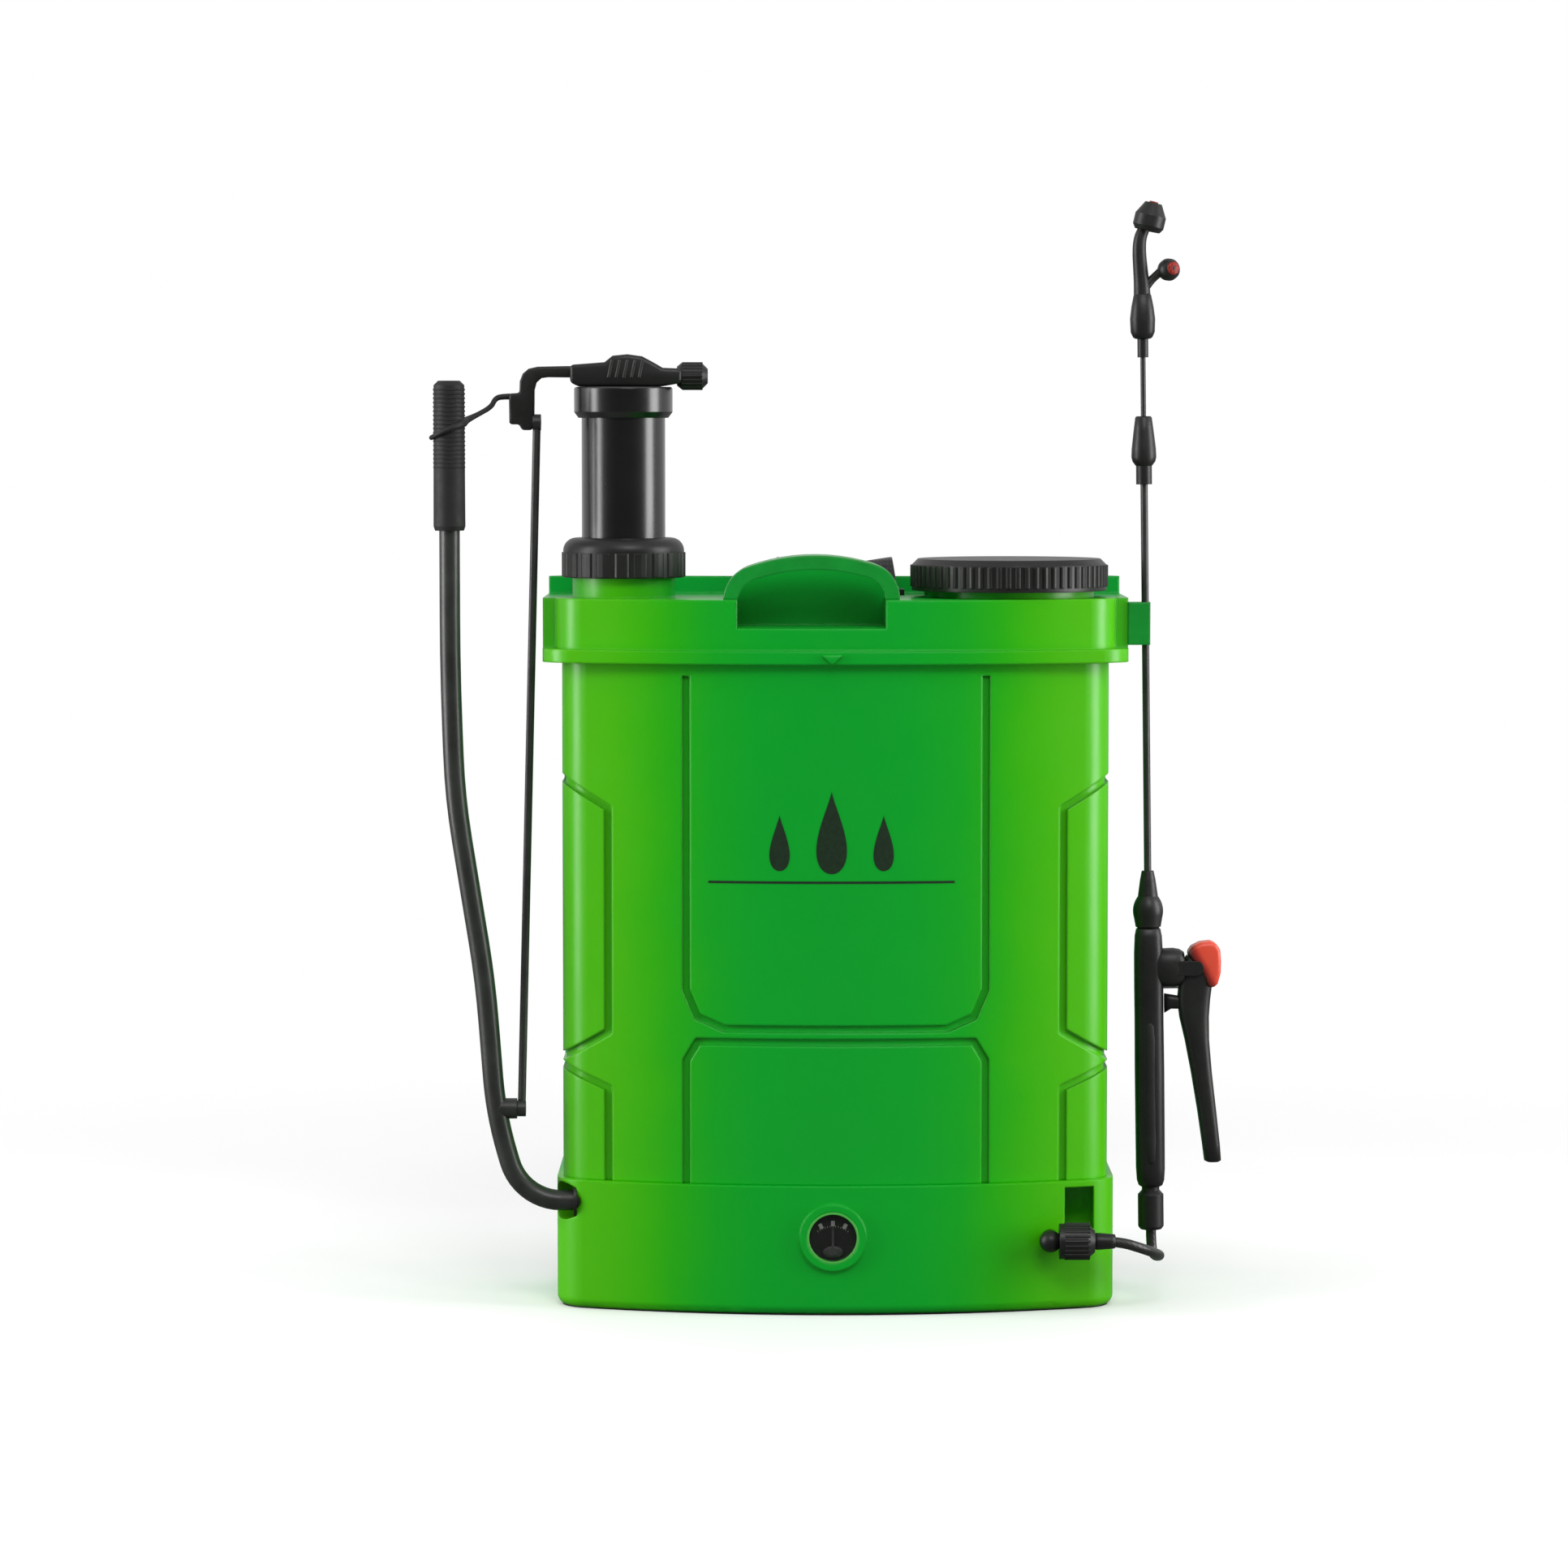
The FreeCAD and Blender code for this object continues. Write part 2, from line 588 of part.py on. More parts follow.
def base():
    """The base: an open box under the tank, with the voltmeter's ring, the slot and its openings."""
    wall = S.base_wall
    top = S.base_tall
    outer = casing("base_outer", S.base_half, S.base_front, S.base_back, S.casing_hollow, 0, top)
    round_edges(outer, S.base_edge, level_at(0))
    inner = casing("base_inner", S.base_half, S.base_front, S.base_back, S.casing_hollow,
                   -1, top - wall, wall)
    shell = cut("base_shell", outer, [inner])
    aside = S.slot_wide / 2 + wall
    lining = block("slot_lining", (S.slot_middle - aside, S.slot_middle + aside),
                   (-S.base_front, -S.base_front + S.casing_crown + S.slot_deep + wall),
                   (S.slot_low - wall, top))
    lining = common("slot_walls", lining, casing(
        "slot_limit", S.base_half, S.base_front, S.base_back, S.casing_hollow, 0, top))
    front = S.base_front
    ring_at = (-S.gauge_left, -front + wall, S.gauge_level)
    bosses = [tube("screw_boss_%d" % number, S.boss_out, 0, S.plate_thick, top - 1, place)
              for number, place in enumerate(screw_places())]
    lever_at = (-S.lever_face, -S.lever_ahead, S.lever_level)
    lever_boss = common("lever_boss", tube("lever_boss_rod", S.recess_out + wall, 0, -30, S.boss_long,
                                           lever_at, RIGHT),
                        casing("lever_limit", S.base_half, S.base_front, S.base_back,
                               S.casing_hollow, 0, top))
    gauge_ring = tube("gauge_ring", S.ring_out, 0, 0, wall + S.ring_proud, ring_at, FRONT)
    added = [lining, lever_boss, gauge_ring] + bosses
    holes = [
        block("slot_space", (S.slot_middle - S.slot_wide / 2, S.slot_middle + S.slot_wide / 2),
              (-front - 10, -front + S.casing_crown + S.slot_deep), (S.slot_low, S.slot_high)),
        tube("gauge_hole", S.gauge_out + S.thread_gap, 0, -10, 20, ring_at, FRONT),
        tube("lever_hole", S.bush_out + S.thread_gap, 0, -1, S.boss_long + 1, lever_at, RIGHT),
        tube("lever_recess", S.recess_out, 0, -30, 0, lever_at, RIGHT),
        tube("outlet_hole", S.stem_out + S.thread_gap, 0, -30, 30,
             (S.outlet_left, -front + 20, S.outlet_level), FRONT),
        tube("port_hole", S.hose_out + 1, 0, -10, 10, (S.port_right, S.port_back, top)),
        tube("socket_hole", S.socket_out + S.thread_gap, 0, -10, 10,
             (S.base_half, S.socket_back, S.switch_level), RIGHT),
        block("switch_hole", (S.base_half - 10, S.base_half + 10),
              (S.switch_back - S.switch_wide / 2 + 2, S.switch_back + S.switch_wide / 2 - 2),
              (S.switch_level - S.switch_tall / 2 + 2, S.switch_level + S.switch_tall / 2 - 2)),
    ] + [tube("screw_hole_%d" % number, S.screw_shank + S.thread_gap, 0, 0, S.screw_long + 2, place)
         for number, place in enumerate(screw_places())]
    node(cut("base_finished", fused("base_built", [shell] + added), holes), "base")


def screw_places():
    """Six screws hold the floor plate: two rows of three."""
    columns = (-S.screw_left, S.screw_middle, S.screw_right)
    return [(column, row * S.screw_deep, 0) for column in columns for row in (-1, 1)]


def base_floor():
    """The plate that closes the base from below, flush with its rim, and its screws."""
    gap = S.base_wall + S.plate_gap
    plate = casing("plate_blank", S.base_half, S.base_front, S.base_back, S.casing_hollow,
                   0, S.plate_thick, gap)
    corner = cut("plate_trim", plate, [
        tube("plate_hole_%d" % number, S.screw_head + S.plate_gap, 0, -1, S.plate_thick + 1, place)
        for number, place in enumerate(screw_places())])
    node(corner, "base_plate")
    head = S.plate_thick - S.thread_gap
    screws = [turned("screw_%d" % number, [
        (0, 0.4), (S.screw_head, 0.4), (S.screw_head, head), (S.screw_shank, head),
        (S.screw_shank, S.screw_long), (0, S.screw_long)], place)
        for number, place in enumerate(screw_places())]
    node(fused("base_screws", screws), "base_screws")


def voltmeter():
    """The round voltmeter: case, dial with its low hub, needle and lens."""
    front = -S.base_front - S.ring_proud
    middle = (-S.gauge_left, front, S.gauge_level)
    wall = S.gauge_wall
    rim = S.gauge_out
    inside = rim - wall
    case = turned("voltmeter_case", [
        (0, -S.gauge_deep), (rim, -S.gauge_deep), (rim, 0), (inside, 0),
        (inside, -S.dial_sunk - S.dial_thick), (0, -S.dial_sunk - S.dial_thick)], middle, FRONT)
    node(case, "voltmeter_case")
    dial = tube("dial_disc", inside - S.thread_gap, 0, -S.dial_sunk - S.dial_thick, -S.dial_sunk,
                middle, FRONT)
    node(dial, "voltmeter_dial")
    pivot = (-S.gauge_left, front, S.gauge_level - S.needle_low)
    floor = -S.dial_sunk + S.side_gap
    hub = tube("needle_hub", S.hub_out, 0, floor, floor + S.needle_thick * 2, pivot, FRONT)
    blade = block("needle_blade", (-S.gauge_left - S.needle_wide / 2, -S.gauge_left + S.needle_wide / 2),
                  (front - floor - S.needle_thick, dim(front) - floor),
                  (S.gauge_level - S.needle_low, S.gauge_level - S.needle_low + S.needle_long))
    node(fused("needle", [hub, blade]), "voltmeter_needle")
    node(tube("lens", inside - S.thread_gap, 0, -S.lens_thick - 0.4, -0.4, middle, FRONT), "voltmeter_lens")


def battery_pump():
    """The battery, the diaphragm pump with its motor, and the short hoses inside the base."""
    floor = S.plate_thick
    half = S.battery_wide / 2
    middle = S.battery_back
    node(block("battery_case", (-half, half), (middle - S.battery_deep / 2, middle + S.battery_deep / 2),
               (floor, floor + S.battery_tall)), "battery")
    motor_end = S.motor_left + S.motor_long
    node(tube("motor", S.motor_out, 0, 0, S.motor_long, (S.motor_left, S.motor_back, S.motor_level), RIGHT),
         "pump_motor")
    head = block("pump_box", (motor_end, motor_end + S.head_wide),
                 (S.motor_back - S.head_thick / 2, S.motor_back + S.head_thick / 2), (floor, S.head_high))
    inlet = tube("pump_inlet", S.barb_out, 0, 0, S.barb_long, (S.port_right, S.port_back, S.head_high))
    outlet_at = (S.delivery_right, S.motor_back - S.head_thick / 2, S.outlet_level)
    delivery = tube("pump_delivery", S.barb_out, 0, 0, S.barb_long, outlet_at, FRONT)
    node(fused("pump_head_built", [head, inlet, delivery]), "pump_head")
    port_low = S.head_high + S.barb_long + 1
    port = turned("port", [
        (0, port_low), (S.barb_out, port_low), (S.barb_out, S.base_tall - S.base_wall),
        (S.stem_out, S.base_tall - S.base_wall), (S.stem_out, S.base_tall + S.tank_wall),
        (S.port_flange, S.base_tall + S.tank_wall), (S.port_flange, S.base_tall + S.tank_wall + 2),
        (0, S.base_tall + S.tank_wall + 2)], (S.port_right, S.port_back, 0))
    node(port, "tank_outlet")
    suction = tube("suction", S.hose_out, S.hose_in, S.head_high + 1, S.base_tall - S.base_wall - 1,
                   (S.port_right, S.port_back, 0))
    node(fused("hoses", [suction, delivery_hose()]), "pump_hoses")


def switch_and_socket():
    """The rocker switch and the charging socket on the base's right side."""
    side = S.base_half
    across = (S.switch_back - S.switch_wide / 2, S.switch_back + S.switch_wide / 2)
    tall = (S.switch_level - S.switch_tall / 2, S.switch_level + S.switch_tall / 2)
    gap = 2 + S.thread_gap
    bezel = block("switch_bezel", (side, side + S.bezel_thick), across, tall)
    case = block("switch_case", (side - S.switch_deep, side), (across[0] + gap, across[1] - gap),
                 (tall[0] + gap, tall[1] - gap))
    well = gap + S.bezel_thick
    opening = block("switch_opening", (side - S.switch_deep + 2, side + S.bezel_thick + 1),
                    (across[0] + well, across[1] - well), (tall[0] + well, tall[1] - well))
    deep = S.switch_wide / 2 - well + S.rocker_lap
    hole = tube("rocker_hole", S.rocker_pin + S.bore_gap, 0, -deep, deep,
                (side - S.rocker_sunk, S.switch_back, S.switch_level), FRONT)
    node(cut("switch_frame", fused("switch_solid", [bezel, case]), [opening, hole]), "switch_frame")
    inner = well + S.rocker_gap
    rocker = body("rocker")
    half = S.switch_tall / 2 - inner
    pad(rocker, "XZ_Plane", [[
        (-S.switch_deep / 2, -half + 1.5), (S.bezel_thick + S.rocker_rise, -half + 1.5),
        (S.bezel_thick + S.rocker_rise / 2, 0), (S.bezel_thick, half - 1.5),
        (-S.switch_deep / 2, half - 1.5)]], S.switch_wide - inner * 2, middle=True)
    seat(rocker, (side, S.switch_back, S.switch_level))
    reach = S.switch_wide / 2 - inner + S.rocker_lap
    hinge = (side - S.rocker_sunk, S.switch_back, S.switch_level)
    pivot = tube("rocker_pivot", S.rocker_pin, 0, -reach, reach, hinge, FRONT)
    node(fused("rocker_built", [rocker, pivot]), "power_switch")
    socket = turned("socket_body", [
        (S.socket_bore, S.bezel_thick), (S.socket_bore, 2 - S.socket_deep), (0, 2 - S.socket_deep),
        (0, -S.socket_deep), (S.socket_out, -S.socket_deep), (S.socket_out, 0), (S.socket_flange, 0),
        (S.socket_flange, S.bezel_thick)], (side, S.socket_back, S.switch_level), RIGHT)
    pin = tube("socket_contact", S.socket_pin, 0, 2 - S.socket_deep, -0.5,
               (side, S.socket_back, S.switch_level), RIGHT)
    node(fused("socket_built", [socket, pin]), "charging_socket")


def outlet():
    """The pump's outlet: an elbow through the front wall and the nut that holds the wand's hose."""
    elbow = (S.outlet_left, -S.outlet_ahead, S.outlet_level)
    stem = tube("outlet_stem", S.stem_out, 0, 0, 26, elbow, BACK)
    barb = tube("outlet_barb", S.barb_out, 0, 26, 26 + S.barb_long, elbow, BACK)
    knee = doc.addObject("Part::Sphere", "outlet_knee")
    bind(knee, "Radius", S.elbow_out)
    seat(knee, elbow)
    spigot = tube("outlet_spigot", S.stem_out - 0.5, 0, 0, S.outlet_to - S.outlet_left - 3, elbow, RIGHT)
    knee = cut("outlet_knee_flat", knee, [block(
        "outlet_knee_cut", (S.outlet_from - 0.3, S.outlet_to), (-S.outlet_ahead - 20, -S.outlet_ahead + 20),
        (S.outlet_level - 20, S.outlet_level + 20))])
    node(fused("outlet_fitting", [knee, stem, barb, spigot]), "outlet_fitting")
    start = S.outlet_from - S.outlet_left
    stop = S.outlet_to - S.outlet_left
    bore = S.stem_out - 0.5 + S.bore_gap
    node(turned("outlet_nut_body", [
        (bore, start), (S.outlet_nut_out, start), (S.outlet_nut_out, stop - S.outlet_taper),
        (S.outlet_tip, stop), (0, stop), (0, stop - 2.9), (bore, stop - 2.9)], elbow, RIGHT), "outlet_nut")


def delivery_hose():
    """The hose inside the base, from the pump's outlet to the elbow's barb."""
    pump_end = (S.delivery_right, S.motor_back - S.head_thick / 2 - 1, S.outlet_level)
    stem_end = (S.outlet_left, -S.outlet_ahead + 27, S.outlet_level)
    middle = (float(pump_end[0] + stem_end[0]) / 2, float(pump_end[1] + stem_end[1]) / 2)
    route = [pump_end, (float(pump_end[0]), middle[1] + 6, float(S.outlet_level)),
             (float(stem_end[0]), middle[1] - 6, float(S.outlet_level)), stem_end]
    return solid("delivery", round_bar(route, S.hose_out, S.hose_in))


def lid():
    """The filler lid, its gasket on a vent plate, and the strainer basket in the neck."""
    middle = (S.filler_right, -S.filler_ahead, DECK)
    low = S.lid_lift
    high = low + S.lid_tall
    roof = high - S.lid_wall
    skirt = S.filler_out + S.lid_gap
    neck_in = S.filler_out - S.filler_wall
    node(turned("lid_shell", [
        (skirt, low), (S.lid_out, low), (S.lid_out, high - 4), (S.lid_out - 4, high),
        (0, high), (0, roof), (skirt, roof)], middle), "lid_cap")
    seal_top = roof - S.lid_gap
    lip = S.filler_tall + S.strainer_wall
    node(turned("lid_seal", [
        (0, lip + 0.2), (S.filler_out - 0.6, lip + 0.2), (S.filler_out - 0.6, seal_top), (0, seal_top)],
        middle), "lid_gasket")
    wall = S.strainer_wall
    top = neck_in - S.lid_gap
    foot = top - S.strainer_draft
    deep = -S.strainer_deep + S.filler_tall
    node(turned("strainer_basket", [
        (top, S.filler_tall), (S.filler_out - 1, S.filler_tall), (S.filler_out - 1, lip),
        (top - wall, lip), (foot - wall, deep + wall), (0, deep + wall), (0, deep), (foot, deep)],
        middle), "strainer")


def chamber():
    """The pump: cylinder hung in the neck under its nut, and the air chamber that slides in it."""
    middle = (-S.chamber_left, -S.chamber_ahead, 0)
    inner = S.chamber_out + S.cylinder_gap
    outer = inner + S.cylinder_wall
    flange = NECK_TOP + S.flange_thick
    foot = S.cylinder_foot
    node(turned("cylinder", [
        (inner, foot), (outer, foot), (outer, NECK_TOP), (NECK_OUT - 0.5, NECK_TOP),
        (NECK_OUT - 0.5, flange), (inner, flange)], middle), "pump_cylinder")
    node(tube("valve_plate", inner - S.thread_gap, S.valve_hole, foot, foot + S.valve_thick, middle),
         "foot_valve")
    low = DECK + S.nut_lift
    high = low + S.nut_tall
    lip = S.chamber_out + S.cylinder_gap
    under = flange + S.thread_gap
    node(turned("chamber_nut_body", [
        (NECK_OUT + S.slide_gap, low), (NUT_OUT, low), (NUT_OUT, high - 9),
        (NUT_OUT - 9, high, NUT_OUT - 2.6, high - 2.6), (lip, high), (lip, under),
        (NECK_OUT + S.slide_gap, under)], middle), "chamber_nut")
    wall = S.chamber_wall
    bottom = S.chamber_foot
    top = S.chamber_top
    node(tube("chamber_tube", S.chamber_out, S.chamber_out - wall, bottom, top, middle), "air_chamber")
    node(turned("piston", [
        (0, bottom - S.piston_tall), (S.chamber_out + 0.4, bottom - S.piston_tall),
        (S.chamber_out + 0.4, bottom), (0, bottom)], middle), "piston_cup")


def chamber_head():
    """The collar and head on the air chamber, its blind outlet cap, and the bent pump arm."""
    middle = (-S.chamber_left, -S.chamber_ahead, S.chamber_top)
    collar = S.collar_out
    tall = S.collar_tall
    inner = S.chamber_out + S.thread_gap
    lap = -S.collar_lap
    node(turned("collar_body", [
        (inner, lap), (collar - 3, lap), (collar, lap + 4), (collar, tall - 1), (collar - 1, tall),
        (0, tall), (0, 0), (inner, 0)], middle), "chamber_cap")
    level = S.arm_level - S.chamber_top
    half = S.head_half
    dome = body("head_dome")
    pad(dome, "XZ_Plane", [[
        (-half, tall), (half, tall), (half * 0.94, tall + 5),
        (-half, tall + S.head_tall * 0.55, 0, tall + S.head_tall)]], S.head_deep * 2, middle=True)
    round_edges(dome, 3, level_along_y_top)
    seat(dome, (-S.chamber_left + S.head_shift, -S.chamber_ahead, S.chamber_top))
    grip = S.socket_half
    socket = block("arm_socket", (-S.chamber_left - S.socket_left, -S.chamber_left - half * 0.5),
                   (-S.chamber_ahead - grip, -S.chamber_ahead + grip),
                   (S.chamber_top + tall, S.arm_level + grip * 0.9))
    stub = tube("outlet_stub", S.stub_out, 0, 0, S.stub_end,
                (-S.chamber_left, -S.chamber_ahead, S.arm_level - 3), RIGHT)
    thick = S.arm_thick / 2
    mortise = block("arm_mortise", (-S.chamber_left - S.socket_left - 1, -S.chamber_left - half),
                    (-S.chamber_ahead - thick, -S.chamber_ahead + thick),
                    (S.arm_level - thick, S.arm_level + thick))
    node(cut("head", fused("head_solid", [dome, socket, stub]), [mortise]), "chamber_head")
    cap_from = S.stub_end - S.cap_long * 0.45
    bore = S.stub_out + S.bore_gap
    end = S.stub_end + S.bore_gap
    node(turned("blind_cap", [
        (bore, cap_from), (S.cap_out - 2.5, cap_from), (S.cap_out, cap_from + 3),
        (S.cap_out, cap_from + S.cap_long - 4), (S.cap_out - 4, cap_from + S.cap_long),
        (0, cap_from + S.cap_long), (0, end), (bore, end)],
        (-S.chamber_left, -S.chamber_ahead, S.arm_level - 3), RIGHT), "outlet_cap")
    node(pump_arm(), "pump_arm")


def level_along_y_top(edge):
    """The two long edges at the top of the head's dome."""
    box = edge.BoundBox
    return box.YLength > 0.9 * edge.Length and box.ZMin > float(S.collar_tall + 4)


def pump_arm():
    """The arm: out of the head, round a bend and down to the tongue that holds the link rod."""
    thick = S.arm_thick
    left = S.arm_left
    head = -S.chamber_left - S.head_half
    owner = body("arm")
    half = thick / 2
    turn = S.arm_round
    low = S.tongue_from
    pad(owner, "XZ_Plane", [[
        (head, S.arm_level + half), (head, S.arm_level - half),
        (-left + half + turn - thick, S.arm_level - half),
        (-left + half, S.arm_level - half - turn + thick, -left + half + (turn - thick) * 0.3,
         S.arm_level - half - (turn - thick) * 0.3),
        (-left + half, low), (-left - half + S.tongue_thick, low),
        (-left - half + S.tongue_thick, S.arm_foot), (-left - half, S.arm_foot),
        (-left - half, S.arm_level + half - turn),
        (-left - half + turn, S.arm_level + half, -left - half + turn * 0.3,
         S.arm_level + half - turn * 0.3)]], thick, middle=True)
    seat(owner, (0, -S.chamber_ahead, 0))
    peg_level = S.arm_pivot + S.peg_up
    stalk = tube("peg_stalk", S.peg_out, 0, 0, S.peg_left + 2,
                 (-left - half + 2, -S.chamber_ahead, peg_level), LEFT)
    peg = tube("peg", S.peg_out, 0, -S.peg_out, S.peg_long,
               (-left - half - S.peg_left + S.peg_out, -S.chamber_ahead, peg_level), BACK)
    pin = tube("arm_pin", S.pin_out, 0, 1, S.tongue_thick + S.side_gap + S.eye_thick + 1.5,
               (-left - half, -S.chamber_ahead, S.arm_pivot), RIGHT)
    return fused("arm_built", [owner, stalk, peg, pin])


def linkage():
    """The link rod between the arm's pin and the lever's lug, an eye on each end."""
    eye_from = -S.arm_left - S.arm_thick / 2 + S.tongue_thick + S.side_gap
    top = (eye_from + S.eye_thick / 2, -S.chamber_ahead, S.arm_pivot)
    low = (-S.rod_end_left, -S.lever_ahead, S.lever_level + S.lug_up)
    rod_top = (top[0], top[1], top[2])
    shape = round_run(rod_top, low, S.rod_out)
    upper = tube("rod_eye", S.eye_out, 0, 0, S.eye_thick, (eye_from, top[1], top[2]), RIGHT)
    lower = tube("rod_hook", S.eye_out, 0, 0, S.eye_thick, (low[0] - S.eye_thick / 2, low[1], low[2]), RIGHT)
    hole = tube("rod_eye_hole", S.pin_out + S.bore_gap, 0, -3, S.eye_thick + 3, (eye_from, top[1], top[2]),
                RIGHT)
    rod = solid("rod", shape)
    node(cut("link_rod", fused("rod_built", [rod, upper, lower]), [hole]), "link_rod")


def round_run(start, stop, radius):
    """A straight round bar between two points."""
    first = Vector(*[float(value) for value in start])
    along = Vector(*[float(value) for value in stop]) - first
    return Part.makeCylinder(float(radius), along.Length, first, along)


def lever_route():
    """The lever's tube: out of the base's corner, round, and up past the tank's side."""
    ahead = -S.lever_ahead
    level = S.lever_level
    outer = -S.lever_outer
    return [(-S.lever_inner, ahead, level), (outer, ahead, level), (outer - 17, ahead, level + 58),
            (outer - 24, ahead, level + 150), (outer - 34, ahead, level + 212),
            (outer - 44, ahead, level + 275), (outer - 47, ahead, level + 360),
            (outer - 47, ahead, S.lever_top)]


def lever():
    """The pump lever with its bush, retaining collar, grip and the tie that holds it to the arm."""
    route = lever_route()
    tube_shape = round_bar(route, S.lever_out, S.lever_out - S.lever_wall)
    lug_level = S.lever_level + S.lug_up
    lug_end = -S.rod_end_left - S.eye_thick / 2 - S.side_gap
    lug = tube("lever_lug", S.lug_out, 0, 0, 12, (lug_end, -S.lever_ahead, lug_level), LEFT)
    collar = tube("lever_collar", S.lever_out + 2.5, S.lever_out - 0.5, 0, S.collar_thick,
                  (-S.lever_face + S.boss_long + S.side_gap * 2, -S.lever_ahead, S.lever_level), RIGHT)
    node(fused("lever_built", [solid("lever_tube", tube_shape), lug, collar]), "lever")
    bore = S.lever_out + S.bore_gap
    node(turned("bush", [
        (bore, -S.bush_lap), (S.bush_flange, -S.bush_lap), (S.bush_flange, 0), (S.bush_out, 0),
        (S.bush_out, S.boss_long), (bore, S.boss_long)],
        (-S.lever_face, -S.lever_ahead, S.lever_level), RIGHT), "lever_bush")
    top = route[-1]
    bottom = S.grip_out
    upper = S.grip_out - S.grip_taper
    hold = S.lever_out + S.thread_gap
    node(turned("grip", [
        (hold, S.grip_low), (bottom - 1, S.grip_low), (bottom, S.grip_low + 3), (upper, S.grip_high - 3),
        (upper - 3, S.grip_high), (0, S.grip_high), (0, S.lever_top + S.thread_gap),
        (hold, S.lever_top + S.thread_gap)], (top[0], top[1], 0)), "lever_grip")
    node(lever_tie(top[0]), "handle_tie")


def lever_tie(grip_x):
    """The rubber tie: a band round the grip, a tongue, and an eye over the arm's peg."""
    climb = (S.tie_level - S.grip_low) / (S.grip_high - S.grip_low)
    band_in = S.grip_out - S.grip_taper * climb + S.thread_gap
    level = S.tie_level
    band = tube("tie_band", band_in + S.tie_thick, band_in, -S.tie_wide / 2, S.tie_wide / 2,
                (grip_x, -S.lever_ahead, level))
    peg_x = -S.arm_left - S.arm_thick / 2 - S.peg_left + S.peg_out
    peg_level = S.arm_pivot + S.peg_up
    eye_y = -S.chamber_ahead + S.peg_out + 2
    eye = tube("tie_eye", S.tie_eye_out, S.tie_eye, 0, S.tie_thick, (peg_x, eye_y, peg_level), BACK)
    start = (peg_x - S.tie_eye_out * 0.66, eye_y + S.tie_thick / 2, peg_level - S.tie_eye_out * 0.5)
    stop = (grip_x + (band_in + S.tie_thick / 2) * 0.6, -S.lever_ahead + (band_in + S.tie_thick / 2) * 0.8,
            level + 1)
    tongue = solid("tie_tongue", round_run(start, stop, S.tie_thick / 2 + 0.3))
    return fused("tie", [band, tongue, eye])


def lance_clip():
    """The clip on the tank's shoulder: two jaws that hold the lance."""
    side = S.base_half + S.bead_out
    low = S.clip_foot
    high = S.clip_top - S.ridge_tall
    height = (low + high) / 2 - S.wand_foot
    lance_x = S.wand_right - height * sine(S.wand_lean)
    gap = S.lance_out + S.clip_gap
    wall = S.clip_wall
    ahead = -S.wand_ahead
    web = block("clip_web", (side, lance_x - gap - 0.6), (ahead - gap - wall, ahead + gap + wall),
                (low, high))
    jaws = [block("clip_jaw_%d" % (hand + 1), (side, side + S.clip_reach),
                  (ahead + hand * (gap + wall / 2) - wall / 2, ahead + hand * (gap + wall / 2) + wall / 2),
                  (low, high)) for hand in (-1, 1)]
    node(fused("clip", [web] + jaws), "lance_clip")


def strap_band(name, outline, wide, hand):
    """A flat band: its side view extruded to its width, then splayed outward from its top."""
    points = [Vector(-float(wide) / 2, float(y), float(z)) for y, z in outline]
    face = Part.Face(Part.makePolygon(points + points[:1]))
    band = solid(name, face.extrude(Vector(float(wide), 0, 0)))
    hinge = Vector(0, 0, float(DECK))
    splay = Rotation(Vector(0, 1, 0), -hand * float(S.strap_splay))
    shift = Vector(hand * float(S.strap_apart), 0, 0)
    band.Placement = Placement(shift + hinge - splay.multVec(hinge), splay)
    return band


def thickened(line, thick):
    """A closed side view: a line of points, and the same line moved by the thickness."""
    half = float(thick) / 2
    points = [Vector(float(y), float(z), 0) for y, z in line]
    upper = []
    lower = []
    for index, point in enumerate(points):
        before = points[max(index - 1, 0)]
        after = points[min(index + 1, len(points) - 1)]
        run = (after - before).normalize()
        normal = Vector(-run.y, run.x, 0) * half
        upper.append((point.x + normal.x, point.y + normal.y))
        lower.append((point.x - normal.x, point.y - normal.y))
    return upper + lower[::-1]


